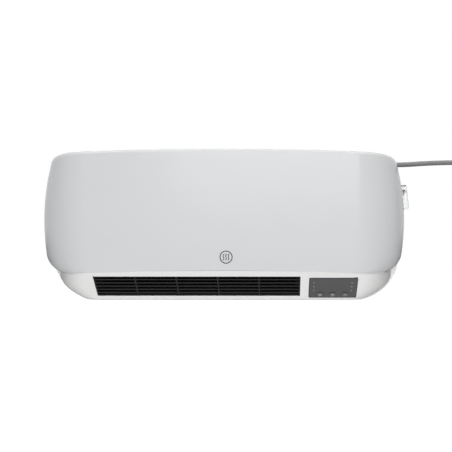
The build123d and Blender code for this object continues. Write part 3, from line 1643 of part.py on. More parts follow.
with BuildPart() as plug_body:
    plug_end = room_point(tail_x, plug_depth, plug_top)
    with BuildSketch(Plane(origin=plug_end, x_dir=(1, 0, 0), z_dir=(0, -1, 0))):
        with BuildLine():
            Polyline(
                (0, 0),
                (plug_neck_r, 0),
                (plug_waist_r, -plug_waist_length),
                (plug_r, -plug_waist_length - plug_shoulder),
                (plug_r, -plug_waist_length - plug_length),
                (0, -plug_waist_length - plug_length),
                close=True,
            )
        make_face()
    revolve(axis=Axis((tail_x, -plug_depth, 0), (0, 0, 1)))
    fillet(plug_body.edges().filter_by(GeomType.CIRCLE).group_by(Axis.Z)[0], plug_pin_r / 2)
save("plug_body", plug_body.part)

with BuildPart() as plug_pins:
    with BuildSketch(plan_plane(plug_top - plug_waist_length - plug_length)):
        with Locations((tail_x, plug_depth)):
            with GridLocations(plug_pin_spacing, 1, 2, 1):
                Circle(plug_pin_r)
    extrude(amount=plug_pin_length)
    fillet(plug_pins.edges().filter_by(GeomType.CIRCLE).group_by(Axis.Z)[0], plug_pin_r / 2)
save("plug_pins", plug_pins.part)

# Tie round the right side of the coil
tie_left = min(x for x, depth in coil_ends[1::2]) - cord_r - fit_gap
tie_right = max(x for x, depth in coil_ends) + cord_r + fit_gap
tie_back = coil_back_depth - cord_r - fit_gap
tie_front = coil_back_depth + coil_layer_pitch + cord_r + fit_gap
with BuildPart() as cord_tie:
    with BuildSketch(plan_plane(coil_height + tie_width / 2)):
        with Locations(((tie_left + tie_right) / 2, (tie_back + tie_front) / 2)):
            RectangleRounded(
                tie_right - tie_left + 2 * tie_thickness,
                tie_front - tie_back + 2 * tie_thickness,
                cord_r,
            )
            RectangleRounded(
                tie_right - tie_left,
                tie_front - tie_back,
                cord_r - tie_thickness,
                mode=Mode.SUBTRACT,
            )
    extrude(amount=tie_width)
save("cord_tie", cord_tie.part)
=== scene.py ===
# %% [markdown]
# # A wall fan heater
# This lesson dresses a wall heater: a curved glossy cover over a white lower frame, a black
# slatted outlet, a small key panel, a rocker switch under a clear boot and a grey mains lead.
# The moulded parts, their sizes and their joints come ready made as the frame. Here they get
# their finish, and the parts whose looks matter most are modelled again in more detail.

# %% Load the frame
import json
import math

import bpy
from mathutils import Matrix, Vector


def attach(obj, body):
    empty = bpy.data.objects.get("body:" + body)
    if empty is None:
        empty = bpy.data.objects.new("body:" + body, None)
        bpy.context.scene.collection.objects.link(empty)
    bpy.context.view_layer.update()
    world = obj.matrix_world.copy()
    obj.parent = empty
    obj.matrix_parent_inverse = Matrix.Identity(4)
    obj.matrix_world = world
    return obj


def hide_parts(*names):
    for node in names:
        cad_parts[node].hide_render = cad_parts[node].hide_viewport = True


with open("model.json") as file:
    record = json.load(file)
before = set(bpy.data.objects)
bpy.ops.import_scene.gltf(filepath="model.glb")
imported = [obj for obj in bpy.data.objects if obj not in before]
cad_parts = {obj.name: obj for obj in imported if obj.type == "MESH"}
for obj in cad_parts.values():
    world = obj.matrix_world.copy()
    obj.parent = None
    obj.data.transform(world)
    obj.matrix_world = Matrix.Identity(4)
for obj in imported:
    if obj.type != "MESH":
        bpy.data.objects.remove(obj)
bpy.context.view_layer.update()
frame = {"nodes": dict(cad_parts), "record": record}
print("the frame has", len(frame["nodes"]), "nodes")

# %% [markdown]
# ## Places
# On a wall heater it is natural to think in three numbers: how far right, how far out of the
# wall, and how high above the lowest edge. One helper turns those millimetres into the frame's
# metres, where +Y runs into the wall and the keyholes sit at height zero.

# %% Millimetres and places
mm = 0.001
mount_height = 150.0


def room_point(x, depth, height):
    """A point from its x, its depth out of the wall and its height above the lowest edge."""
    return Vector((x, -depth, height - mount_height)) * mm


print("the lowest edge is at", round(room_point(0, 0, 0).z, 3), "m")

# %% [markdown]
# ## Camera
# The photograph was taken from straight in front with a short telephoto, a little right of the
# heater's middle and level with it. Both sides of the case run to one vanishing point, and that
# gives the camera's place. The frame was cropped afterwards, so the lens is shifted and the
# camera itself looks straight at the wall.

# %% Camera
photo_size = 452
focal_px = 729.2
principal_px = 278.1
camera_roll = math.radians(0.13)
camera_place = room_point(70.8, 990.0, 97.3)

bpy.ops.object.camera_add(location=camera_place)
camera = bpy.context.object
camera.name = "photo_camera"
camera.rotation_mode = "YXZ"
camera.rotation_euler = (math.radians(90), camera_roll, 0.0)
camera.data.sensor_width = 36.0
camera.data.lens = focal_px / photo_size * camera.data.sensor_width
camera.data.shift_x = (photo_size / 2 - principal_px) / photo_size
bpy.context.scene.camera = camera
print("lens", round(camera.data.lens, 2), "mm, shift", round(camera.data.shift_x, 3))

# %% [markdown]
# ## Mains lead
# The lead is one PVC cord of about one and a half metres. It leaves its sleeve, runs right
# along the wall, and past the picture's edge it drops into a coil that is put away with a tie.
# A NURBS curve suits it, because its control points pull a smooth line like a stiff cord.

# %% The lead's free stretch
cord_r = 3.25
free_stretch = [
    (218.0, 11.0, 179.2),
    (236.0, 11.0, 179.2),
    (268.0, 11.3, 181.4),
    (300.0, 11.2, 182.4),
    (330.0, 10.4, 182.3),
    (350.0, 8.0, 170.5),
    (360.0, 5.5, 152.5),
    (360.0, 5.5, 130.5),
]
print("the free stretch has", len(free_stretch), "points")

# %% [markdown]
# The coil is made of half circles that spiral in along the wall, climb one layer and spiral out
# again in front. An order three curve runs a little inside points that lie on a circle, so the
# points stand out by that share to keep the true radius. The tail hangs from the coil down to
# the plug, which stands a little further out than the coil.

# %% The lead's coil and tail
coil_height = 124.0
coil_depth = 5.5
coil_outer_r = 48.5
coil_pitch = 7.2
turns_in = 5
turns_out = 4
half_turn_points = 8
point_turn = math.pi / half_turn_points
curve_share = 0.75 + 0.25 * math.cos(point_turn)
plug_depth = 20.5

coil_points = []
end_x, end_depth = free_stretch[-1][0], coil_depth
for half_turn in range(turns_in + 1 + turns_out):
    steps_in = min(half_turn, 2 * turns_in - half_turn)
    turn_r = coil_outer_r - steps_in * coil_pitch / 2
    next_depth = coil_depth + (coil_pitch if half_turn >= turns_in else 0)
    side = 1 if half_turn % 2 == 0 else -1
    for step in range(half_turn_points):
        angle = (step + 0.5) * point_turn
        share = (step + 0.5) / half_turn_points
        coil_points.append(
            (
                end_x + side * turn_r * (1 - math.cos(angle) / curve_share),
                end_depth + share * (next_depth - end_depth),
                coil_height - side * turn_r * math.sin(angle) / curve_share,
            )
        )
    end_x += side * 2 * turn_r
    end_depth = next_depth
tail = [
    (end_x, end_depth, coil_height - 2 * cord_r),
    (end_x, end_depth, 100.0),
    (end_x, plug_depth, 80.0),
    (end_x, plug_depth, 62.5),
]
print("the coil has", len(coil_points), "points and the lead ends at x", round(end_x, 1))

# %% [markdown]
# The curve gets its thickness from the radius of its points, given in metres, with a bevel
# depth of one. Done the other way round, with a radius of one, Blender would take the lead to
# be a metre thick wherever it measures the scene by its objects' boxes.

# %% Draw the lead as one curve
lead_data = bpy.data.curves.new("mains_lead", "CURVE")
lead_data.dimensions = "3D"
lead_data.resolution_u = 8
lead_data.bevel_depth = 1.0
lead_data.bevel_resolution = 5
spline = lead_data.splines.new("NURBS")
lead_route = free_stretch + coil_points + tail
spline.points.add(len(lead_route) - 1)
for point, spot in zip(spline.points, lead_route):
    point.co = (*room_point(*spot), 1.0)
    point.radius = cord_r * mm
spline.order_u = 3
spline.use_endpoint_u = True
mains_lead = bpy.data.objects.new("mains_lead", lead_data)
bpy.context.collection.objects.link(mains_lead)
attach(mains_lead, "case")
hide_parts("cord_lead", "cord_coil", "cord_tail")
print("the lead is", round(spline.calc_length(), 3), "m long")

# %% [markdown]
# ## Tools for modelled shells
# The cover and the white frame under it are thin moulded shells with soft, doubly curved
# corners. A primitive grid is a good start: each of its points is moved to the place that the
# shell's own curves give it. The same helper rolls a grid up into a ring or a turned form,
# because points that land on the same place are merged.

# %% A grid shaped by a formula
merge_gap = 0.01


def start_clean():
    """Deselect everything, so that an operator acts only on what is chosen next."""
    bpy.ops.object.select_all(action="DESELECT")


def shaped_grid(name, columns, rows, shape):
    """A grid primitive whose points are placed by shape(column, row)."""
    start_clean()
    bpy.ops.mesh.primitive_grid_add(x_subdivisions=columns, y_subdivisions=rows, size=2)
    piece = bpy.context.object
    piece.name = name
    for vertex in piece.data.vertices:
        column = round((vertex.co.x + 1) / 2 * columns)
        row = round((vertex.co.y + 1) / 2 * rows)
        vertex.co = shape(column, row)
    bpy.ops.object.mode_set(mode="EDIT")
    bpy.ops.mesh.select_all(action="SELECT")
    bpy.ops.mesh.remove_doubles(threshold=merge_gap * mm)
    bpy.ops.mesh.normals_make_consistent(inside=False)
    bpy.ops.object.mode_set(mode="OBJECT")
    return piece


print("points closer than", merge_gap, "mm are merged")

# %% [markdown]
# A Solidify modifier turns a skin into a wall, and a Boolean modifier cuts an opening, as a
# mould's core would leave it. Each is applied at once, so the next step works on plain mesh.

# %% Walls, openings and smooth shading
wall = 2.5
crease_degrees = 30.0


def apply_all(piece):
    """Apply every modifier of a piece in order."""
    bpy.context.view_layer.objects.active = piece
    for modifier in list(piece.modifiers):
        bpy.ops.object.modifier_apply(modifier=modifier.name)


def thicken(piece, thickness):
    """Give a skin its wall, inwards from the surface that shows."""
    solid = piece.modifiers.new("wall", "SOLIDIFY")
    solid.thickness = thickness * mm
    solid.offset = -1.0
    solid.use_even_offset = True
    apply_all(piece)


def cut(piece, cutter):
    """Cut an opening and throw the cutter away."""
    opening = piece.modifiers.new("opening", "BOOLEAN")
    opening.operation = "DIFFERENCE"
    opening.solver = "EXACT"
    opening.object = cutter
    apply_all(piece)
    bpy.data.objects.remove(cutter, do_unlink=True)


def smooth(piece, degrees=crease_degrees):
    """Shade smooth, but keep the edges that are sharper than an angle."""
    start_clean()
    piece.select_set(True)
    bpy.context.view_layer.objects.active = piece
    bpy.ops.object.shade_smooth_by_angle(angle=math.radians(degrees))


print("the walls are", wall, "mm thick")

# %% [markdown]
# A cutter is a cube whose eight corners are put where they are wanted. The four edges along its
# third way, which is the way of the cut, can then be bevelled round, and that gives an opening
# its rounded corners.

# %% Cutting blocks
bevel_steps = 5


def block(name, corners, round_edges=0.0):
    """A block whose corners are placed by corners(first, second, third), each 0 or 1."""
    start_clean()
    bpy.ops.mesh.primitive_cube_add(size=2)
    made = bpy.context.object
    made.name = name
    if round_edges:
        bpy.ops.object.mode_set(mode="EDIT")
        bpy.ops.mesh.select_all(action="DESELECT")
        bpy.ops.object.mode_set(mode="OBJECT")
        for edge in made.data.edges:
            first, second = (made.data.vertices[i].co.z for i in edge.vertices)
            edge.select = abs(first - second) > 1
    for vertex in made.data.vertices:
        vertex.co = corners(*((part + 1) / 2 for part in vertex.co))
    bpy.ops.object.mode_set(mode="EDIT")
    if round_edges:
        bpy.ops.mesh.bevel(offset=round_edges * mm, segments=bevel_steps)
    bpy.ops.mesh.select_all(action="SELECT")
    bpy.ops.mesh.normals_make_consistent(inside=False)
    bpy.ops.object.mode_set(mode="OBJECT")
    return made


print("a round edge has", bevel_steps, "steps")

# %% [markdown]
# ## Front cover
# Seen from the room the cover is a wide rounded panel: its top and its lower rim are shallow
# arches, and its sides bulge. Each side is the arc through three points, and the arches are
# parabolas that pass through the two corners.

# %% The cover's outline
half_width = 230.0
top_height = 190.0
crease_height = 44.0
top_corner = (217.7, 185.8)
low_corner = (222.0, 39.0)
widest_height = 120.0


def arc_through(first, second, third):
    """Centre and radius of the circle through three points."""
    rows = Matrix(
        (
            (2 * (second[0] - first[0]), 2 * (second[1] - first[1])),
            (2 * (third[0] - first[0]), 2 * (third[1] - first[1])),
        )
    )
    squares = [point[0] ** 2 + point[1] ** 2 for point in (first, second, third)]
    centre = rows.inverted() @ Vector((squares[1] - squares[0], squares[2] - squares[0]))
    return centre, math.dist(centre, first)


side_centre, side_r = arc_through(top_corner, (half_width, widest_height), low_corner)


def side_at(height):
    """Half the cover's width at a height, before its corners are rounded."""
    return side_centre.x + math.sqrt(side_r**2 - (height - side_centre.y) ** 2)


def top_at(x):
    """Height of the arched top at x."""
    return top_height - (top_height - top_corner[1]) * (x / top_corner[0]) ** 2


def rim_at(x):
    """Height of the arched lower rim at x."""
    return crease_height - (crease_height - low_corner[1]) * (x / low_corner[0]) ** 2


print("the cover is", round(2 * side_at(widest_height)), "mm wide at its widest")

# %% [markdown]
# Seen from above, a nearly flat front with a slight bow runs out into two long rounded corners.
# The corner's curve is stretched to end at the outline at every height, so the shell is one
# soft form, with none of the creases that two crossing cuts would leave.

# %% The cover's front
back_depth = 24.0
flat_half = 160.6
flat_depth = 115.0
bow = 3.0
side_depth = 50.4
corner_power = 1.87
corner_reach = 233.0
stretch_power = 8.3
top_corner_r = 9.0
low_corner_r = 22.0
edge_r = 4.0


def rounding(radius, reach):
    """How far a round corner has drawn in, where reach is how far past its start a point is."""
    reach = min(max(reach, 0.0), radius)
    return radius - math.sqrt(radius**2 - reach**2)


def cover_front(across, up):
    """x, depth and height of the cover's front, from -1 to 1 across and from 0 to 1 up."""
    # The height depends on x and x on the height, and three rounds settle both
    height = crease_height + up * (top_height - crease_height)
    for _ in range(3):
        x = across * side_at(height)
        top, rim = top_at(x), rim_at(x)
        height = rim + up * (top - rim)
    half = side_at(height)
    half -= rounding(top_corner_r, height - top + top_corner_r)
    half -= rounding(low_corner_r, rim + low_corner_r - height)
    x = across * half
    stretched = abs(x) + (corner_reach - half) * abs(across) ** stretch_power
    turn = min(max((stretched - flat_half) / (corner_reach - flat_half), 0.0), 1.0)
    corner = (1 - turn**corner_power) ** (1 / corner_power)
    depth = side_depth + (flat_depth - side_depth) * corner
    depth += bow * (1 - min(1.0, stretched / flat_half) ** 2)
    depth -= rounding(edge_r, height - top + edge_r)
    return x, depth, height


print("the cover stands", flat_depth + bow, "mm out of the wall")

# %% Shape the cover
cover_columns = 132
cover_rows = 60


def cover_shape(column, row):
    """A point of the cover: the outer columns and the top row turn back towards the wall."""
    inner_column = min(max(column, 1), cover_columns - 1)
    inner_row = min(row, cover_rows - 1)
    turn = (inner_column - 1) / (cover_columns - 2) * 2 - 1
    across = math.sin(turn * math.pi / 2)
    up = (1 - math.cos(math.pi * inner_row / (cover_rows - 1))) / 2
    x, depth, height = cover_front(across, up)
    if inner_column != column or inner_row != row:
        depth = back_depth
    return room_point(x, depth, height)


cover = shaped_grid("front_cover_shell", cover_columns, cover_rows, cover_shape)
thicken(cover, wall)
print("the cover has", len(cover.data.polygons), "faces")

# %% [markdown]
# The air inlet is a row of narrow slots in the roof. One slot's cutter is made, with its ends
# rounded by just under half its width, and an Array modifier repeats it, so the row is cut in
# one go.

# %% Inlet slots
slot_count = 33
slot_pitch = 7.5
slot_width = 3.2
slot_length = 46.0
slot_end_r = 0.49 * slot_width
slot_row_x = -30.0
slot_row_depth = 68.0
slot_cut_low = 176.0
slot_cut_height = 20.0
first_slot_x = slot_row_x - slot_pitch * (slot_count - 1) / 2


def slot_corner(across, out, up):
    """A corner of the first slot's cutter, each way from 0 to 1."""
    x = first_slot_x + (across - 0.5) * slot_width
    depth = slot_row_depth + (out - 0.5) * slot_length
    return room_point(x, depth, slot_cut_low + up * slot_cut_height)


slots = block("slot_cutter", slot_corner, slot_end_r)
row = slots.modifiers.new("row", "ARRAY")
row.count = slot_count
row.use_relative_offset = False
row.use_constant_offset = True
row.constant_offset_displace = (slot_pitch * mm, 0, 0)
apply_all(slots)
cut(cover, slots)
print("the cover has", slot_count, "inlet slots")

# %% [markdown]
# The switch sits in a square-cornered window in the cover's right side. Its cutter starts
# inside the cover and ends well outside it.

# %% Switch window
window_height = 134.0
window_depth = 44.5
window_half_height = 16.15
window_half_depth = 13.45
window_cut_x = 215.0
window_cut_length = 30.0


def window_corner(across, out, up):
    """A corner of the switch window's cutter, each way from 0 to 1."""
    depth = window_depth + (2 * out - 1) * window_half_depth
    height = window_height + (2 * up - 1) * window_half_height
    return room_point(window_cut_x + across * window_cut_length, depth, height)


cut(cover, block("window_cutter", window_corner))
smooth(cover)
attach(cover, "case")
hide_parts("front_cover")
print("the window is", 2 * window_half_height, "mm high")

# %% [markdown]
# ## Outlet frame
# The white frame under the cover is a bowl: its 45 degree slope carries the outlet and the key
# panel, and it rounds away to the sides and the wall without a crease. Every level section is a
# straight front and the first part of a quarter of an ellipse. The ellipse's centre lies behind
# the wall, so the bowl is still widening where it meets the rear housing.

# %% The bowl's curves
slope_reach = 73.0
lip_height = 4.6
lip_r = 3.0
lip_share = 0.6
joint_gap = 0.3
bowl_half = 218.6
bowl_shrink = 30.6
bowl_power = 2.45
corner_long = 66.0
corner_short = 36.0
corner_centre_depth = -20.0
corner_rise = 0.5
collar_deeper = 1.5


def bowl_section(across, down, pull=0.0):
    """x, depth and height: from -1 to 1 across, from 0 to 1 down, and drawn in by a share."""
    half = bowl_half - bowl_shrink * down**bowl_power
    rim = rim_at(half) - joint_gap
    height = rim + down * (lip_height - rim)
    front = height + slope_reach - rounding(lip_r, lip_height + lip_r - height) * lip_share
    reach = corner_short + (corner_long - corner_short) * (1 - down)
    start = math.asin((back_depth - corner_centre_depth) / (front - corner_centre_depth))
    straight = half - reach * math.cos(start)
    x = across * (straight + reach)
    depth = front
    rise_share = 1
    if abs(x) > straight:
        turn = (abs(x) - straight) / reach * (math.pi / 2 - start)
        x = math.copysign(straight + reach * math.sin(turn), x)
        depth = corner_centre_depth + (front - corner_centre_depth) * math.cos(turn)
        rise_share = corner_rise
    # The crease follows the cover's arched rim, and the slope moves out as it rises
    rise = (rim_at(x) - joint_gap - rim) * (1 - down)
    depth += rise * rise_share
    x *= 1 - pull
    return x, back_depth + (depth - back_depth) * (1 - collar_deeper * pull), height + rise


print("the slope is", round(crease_height - lip_height, 1), "mm high")

# %% [markdown]
# The grid's first rows are a collar that stands up inside the cover, drawn in so that it clears
# the cover's wall. Then come the rows of the slope, and the last ones turn back to the wall as
# a flat bottom.

# %% Shape the bowl
bowl_columns = 120
collar_rows = 2
slope_rows = 36
bottom_rows = 3
collar_rise = 6.0
collar_pull = 0.02


def bowl_shape(column, row):
    """A point of the bowl: a collar inside the cover, the slope, and the flat bottom."""
    across = column / bowl_columns * 2 - 1
    down = min(max(row - collar_rows, 0) / slope_rows, 1.0)
    x, depth, height = bowl_section(across, down, collar_pull if row < collar_rows else 0.0)
    if row == 0:
        height += collar_rise
    if row > collar_rows + slope_rows:
        share = (row - collar_rows - slope_rows) / bottom_rows
        depth += share * (back_depth - depth)
        height = lip_height
    return room_point(x, depth, height)


bowl_rows = collar_rows + slope_rows + bottom_rows
bowl = shaped_grid("outlet_bowl_shell", bowl_columns, bowl_rows, bowl_shape)
thicken(bowl, wall)
print("the bowl has", len(bowl.data.polygons), "faces")

# %% [markdown]
# Places on the slope are easiest to give as on a drawing of it: x, how far down from the
# crease, and how far out of the surface.

# %% Places on the slope
slope_share = math.sqrt(0.5)


def slope_point(x, down, out):
    """A point from its x, its way down the slope and its height above the slope's surface."""
    depth = crease_height + slope_reach + (out - down) * slope_share
    return room_point(x, depth, crease_height - (out + down) * slope_share)


def slope_block(name, left, right, top, bottom, inner, outer, round_edges=0.0):
    """A block on the slope, from an inner to an outer height above its surface."""

    def corner(across, up, out):
        down = bottom + up * (top - bottom)
        return slope_point(left + across * (right - left), down, inner + out * (outer - inner))

    return block(name, corner, round_edges)


print("the crease is at depth", crease_height + slope_reach, "mm")

# %% [markdown]
# The outlet's opening goes through the wall. The panel's recess is shallow, and a second cut
# through its floor leaves a ledge that the panel rests on.

# %% Openings in the slope
grille_left, grille_right = -155.5, 96.0
grille_top, grille_bottom = 11.0, 47.4
panel_x = 136.2
panel_half = 29.65
panel_top, panel_bottom = 13.2, 50.6
panel_gap = 0.15
recess_floor = -1.6
recess_r = 2.0
ledge = 2.6
low_ledge = 0.3
cut_under = -6.0
cut_over = 4.0
panel_left, panel_right = panel_x - panel_half, panel_x + panel_half

outlet_edges = (grille_left, grille_right, grille_top, grille_bottom)
recess_edges = (
    panel_left - panel_gap,
    panel_right + panel_gap,
    panel_top - panel_gap,
    panel_bottom + panel_gap,
)
ledge_edges = (
    panel_left + ledge,
    panel_right - ledge,
    panel_top + ledge,
    panel_bottom - low_ledge,
)
cut(bowl, slope_block("outlet_cutter", *outlet_edges, cut_under, cut_over))
cut(bowl, slope_block("recess_cutter", *recess_edges, recess_floor, cut_over, recess_r))
cut(bowl, slope_block("ledge_cutter", *ledge_edges, cut_under, cut_over))
smooth(bowl)
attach(bowl, "case")
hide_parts("outlet_frame")
print("the outlet is", grille_right - grille_left, "mm wide")

# %% [markdown]
# ## Keys and their signs
# The three keys are small round buttons of soft-edged plastic: a flange behind the panel, a
# straight side, a rounded edge and a shallow dish for the fingertip. A grid that is rolled up
# round an axis makes such a turned form from a short list of radii.

# %% A turned key
key_row = 45.0
key_pitch = 15.65
key_sides = 48
key_crease_degrees = 50.0
key_profile = [
    (0.0, -2.3),
    (4.95, -2.3),
    (4.95, -1.7),
    (4.42, -1.7),
    (4.42, 0.1),
    (4.36, 0.34),
    (4.2, 0.5),
    (3.95, 0.58),
    (3.6, 0.56),
    (2.6, 0.42),
    (1.3, 0.34),
    (0.0, 0.32),
]


def round_key(name, key_x):
    """A key turned from its profile: each pair is a radius and a height above the slope."""

    def shape(column, row):
        angle = 2 * math.pi * column / key_sides
        radius, out = key_profile[row]
        across, down = radius * math.cos(angle), radius * math.sin(angle)
        return slope_point(key_x + across, key_row + down, out)

    key = shaped_grid(name, key_sides, len(key_profile) - 1, shape)
    smooth(key, key_crease_degrees)
    return key


print("a key is", 2 * key_profile[3][0], "mm across")

# %% [markdown]
# The signs are plain printed ones: an open ring with a bar in its gap, a plus and a minus. They
# are drawn as thin raised shapes that stand in the dish. A bar is a block on the slope, and a
# ring is a strip whose closed section is carried round.

# %% Bars, rings and joined pieces
sign_low, sign_high = 0.3, 0.5
sign_half = 1.9
sign_line = 0.34
ring_opening = math.radians(35)
ring_steps = 30


def bar(name, key_x, half_across, half_down, shift=0.0):
    """A printed bar on a key, moved down from its middle by a shift."""
    left, right = key_x - half_across, key_x + half_across
    top, bottom = key_row - half_down + shift, key_row + half_down + shift
    return slope_block(name, left, right, top, bottom, sign_low, sign_high)


def strip_section(inner, outer, low, high):
    """The closed section of a flat strip: its inner and outer side, each at both heights."""
    return [(inner, low), (outer, low), (outer, high), (inner, high), (inner, low)]


def ring(name, key_x):
    """A printed ring that is open at the top."""
    section = strip_section(sign_half - 2 * sign_line, sign_half, sign_low, sign_high)

    def shape(column, row):
        angle = ring_opening + (2 * math.pi - 2 * ring_opening) * column / ring_steps - math.pi / 2
        radius, out = section[row]
        return slope_point(key_x + radius * math.cos(angle), key_row + radius * math.sin(angle), out)

    return shaped_grid(name, ring_steps, len(section) - 1, shape)


def join_pieces(name, pieces):
    """Join some meshes into one piece."""
    start_clean()
    for piece in pieces:
        piece.select_set(True)
    bpy.context.view_layer.objects.active = pieces[0]
    bpy.ops.object.join()
    pieces[0].name = name
    return pieces[0]


print("a sign is", 2 * sign_half, "mm across")

# %% Make the keys
stem_half, stem_shift = 0.9, 1.1
arm_half, arm_shift = 0.78, 1.12


def ring_sign(name, key_x):
    """An open ring with a short bar in its gap."""
    stem = bar("stem", key_x, sign_line, stem_half, -stem_shift)
    return join_pieces(name, [ring("ring", key_x), stem])


def plus_sign(name, key_x):
    """A plus: one bar across, and an arm above and below it."""
    level = bar("level", key_x, sign_half, sign_line)
    above = bar("above", key_x, sign_line, arm_half, -arm_shift)
    below = bar("below", key_x, sign_line, arm_half, arm_shift)
    return join_pieces(name, [level, above, below])


def minus_sign(name, key_x):
    """A minus: one bar across."""
    return bar(name, key_x, sign_half, sign_line)


keys = []
signs = []
for side, name, draw_sign in (
    (-1, "left", ring_sign),
    (0, "middle", plus_sign),
    (1, "right", minus_sign),
):
    key_x = panel_x + side * key_pitch
    key = round_key(name + "_key_cap", key_x)
    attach(key, name + "_key")
    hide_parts(name + "_button")
    keys.append(key)
    sign = draw_sign(name + "_key_sign", key_x)
    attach(sign, name + "_key")
    signs.append(sign)
print(len(keys), "keys with their signs")

# %% [markdown]
# ## Panel trim
# The key panel has a narrow black line all round, where its overlay ends and its bevel falls
# into the recess. It is a thin frame that follows a rounded rectangle, so a grid is rolled up
# along that path.

# %% The panel's dark edge
border_line = 0.8
border_outer_r = 2.0
border_inner_r = 1.3
border_low, border_high = 0.1, 0.27
corner_steps = 6
panel_middle = (panel_top + panel_bottom) / 2
panel_half_down = (panel_bottom - panel_top) / 2


def round_frame(name, inner, outer):
    """A flat frame between two rounded rectangles, each half across, half down and corner."""
    section = strip_section(inner, outer, border_low, border_high)
    around = 4 * (corner_steps + 1)

    def shape(column, row):
        corner, step = divmod(column % around, corner_steps + 1)
        angle = math.pi / 2 * (corner + step / corner_steps)
        (half_across, half_down, radius), out = section[row]
        side_x = 1 if corner in (0, 3) else -1
        side_down = 1 if corner in (0, 1) else -1
        across = side_x * (half_across - radius) + radius * math.cos(angle)
        down = side_down * (half_down - radius) + radius * math.sin(angle)
        return slope_point(panel_x + across, panel_middle + down, out)

    return shaped_grid(name, around, len(section) - 1, shape)


border = round_frame(
    "panel_border",
    (panel_half - border_line, panel_half_down - border_line, border_inner_r),
    (panel_half, panel_half_down, border_outer_r),
)
print("the panel's edge is", border_line, "mm wide")

# %% [markdown]
# A black crescent above each key is painted shade, where the key's recess falls into shadow. It is
# the same kind of strip, carried round most of a half turn and widest in the middle.

# %% Painted shade above the keys
key_shade_inner = 4.55
key_shade_line = 1.35
key_shade_start = 0.1
key_shade_turn = 0.8
key_shade_taper = 1.5
key_shade_steps = 24


def key_shade_crescent(name, key_x):
    """A thin crescent of painted shade that is widest above its key."""
    section = strip_section(0, 1, border_low, border_high)

    def shape(column, row):
        angle = math.pi * (key_shade_start + key_shade_turn * column / key_shade_steps)
        share, out = section[row]
        radius = key_shade_inner + share * key_shade_line * math.sin(angle) ** key_shade_taper
        return slope_point(key_x - radius * math.cos(angle), key_row - radius * math.sin(angle), out)

    return shaped_grid(name, key_shade_steps, len(section) - 1, shape)


key_shade_crescents = join_pieces(
    "painted_key_shades", [key_shade_crescent("key_shade_crescent", panel_x + side * key_pitch) for side in (-1, 0, 1)]
)
for piece in (border, key_shade_crescents):
    smooth(piece)
    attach(piece, "case")
print("a gasket is", key_shade_line, "mm wide at its widest")

# %% [markdown]
# ## Nodes and colours
# Every finish below is a small tree of shader nodes. Two helpers keep that readable: one turns
# a colour as a painter writes it into the linear numbers that a renderer wants, and one adds a
# node together with its settings and its links.

# %% One function for colours and one for nodes


def paint(code):
    """The linear colour of an sRGB hex value."""
    parts = [int(code[i : i + 2], 16) / 255 for i in (1, 3, 5)]
    linear = [c / 12.92 if c <= 0.04045 else ((c + 0.055) / 1.055) ** 2.4 for c in parts]
    return (*linear, 1.0)


def add_node(tree, kind, settings=None, inputs=None):
    """Add one node, set its options, and set or link its inputs."""
    made = tree.nodes.new(kind)
    for name, value in (settings or {}).items():
        setattr(made, name, value)
    for name, value in (inputs or {}).items():
        if isinstance(value, bpy.types.NodeSocket):
            tree.links.new(value, made.inputs[name])
        else:
            made.inputs[name].default_value = value
    return made


print("white is", paint("#FFFFFF"))

# %% [markdown]
# ## Light and background
# A product shot like this stands in a white tent, whose two ends are darker, so a curved case
# turns grey towards its sides. The world is that tent. Its strength depends on the direction
# that a ray leaves in, and rays from the camera, from gloss and through clear plastic see plain
# white.

# %% World
tent_level = 0.11
tent_end_level = 0.0
world = bpy.data.worlds.new("white_tent")
world.use_nodes = True
bpy.context.scene.world = world
sky = world.node_tree
sky.nodes.clear()
direction = add_node(sky, "ShaderNodeTexCoord")
way = add_node(sky, "ShaderNodeSeparateXYZ", inputs={0: direction.outputs["Generated"]})
sideways = add_node(sky, "ShaderNodeMath", {"operation": "ABSOLUTE"}, {0: way.outputs["X"]})
tent = add_node(
    sky,
    "ShaderNodeMapRange",
    {"interpolation_type": "SMOOTHSTEP"},
    {"Value": sideways.outputs[0], "To Min": tent_level, "To Max": tent_end_level},
)
rays = add_node(sky, "ShaderNodeLightPath")
seen = rays.outputs["Is Camera Ray"]
for kind in ("Is Glossy Ray", "Is Transmission Ray"):
    either = add_node(
        sky, "ShaderNodeMath", {"operation": "MAXIMUM"}, {0: seen, 1: rays.outputs[kind]}
    )
    seen = either.outputs[0]
level = add_node(
    sky,
    "ShaderNodeMapRange",
    inputs={"Value": seen, "To Min": tent.outputs[0], "To Max": 1.0},
)
glow = add_node(sky, "ShaderNodeBackground", inputs={"Strength": level.outputs[0]})
glow.inputs["Color"].default_value = paint("#FFFFFF")
add_node(sky, "ShaderNodeOutputWorld", inputs={"Surface": glow.outputs[0]})
print("the tent lights the heater at", tent_level, "and its ends at", tent_end_level)

# %% [markdown]
# Three softboxes do most of the lighting. One hangs above and lights the roof and the cover's
# upper edge, one stands in front, and a wide low one just above the floor lifts the white lower
# frame, which faces down.

# %% Lamps
heater_middle = room_point(0, 60, 95)

# Name, place in metres, width and length in metres, and watts
softboxes = [
    ("overhead_softbox", (0.0, -0.4, 1.5), 2.4, 0.9, 24.0),
    ("front_softbox", (0.2, -2.2, 0.45), 1.4, 0.8, 20.5),
    ("low_softbox", (0.0, -0.9, -0.7), 3.6, 0.8, 8.8),
]
for name, place, width, length, watts in softboxes:
    bpy.ops.object.light_add(type="AREA", location=place)
    lamp = bpy.context.object
    lamp.name = name
    lamp.data.shape = "RECTANGLE"
    lamp.data.size = width
    lamp.data.size_y = length
    lamp.data.energy = watts
    lamp.rotation_euler = (heater_middle - Vector(place)).to_track_quat("-Z", "Y").to_euler()
print("the lamps give", sum(row[-1] for row in softboxes), "W")

# %% [markdown]
# ## Floor
# The heater hangs on a wall, so the floor is far below it. It is a plain pale sheet that throws
# light back up under the white lower frame, and it keeps a faint soft shadow. Its own glow is
# seen by the camera alone, so it makes the background white and adds no light to the heater.

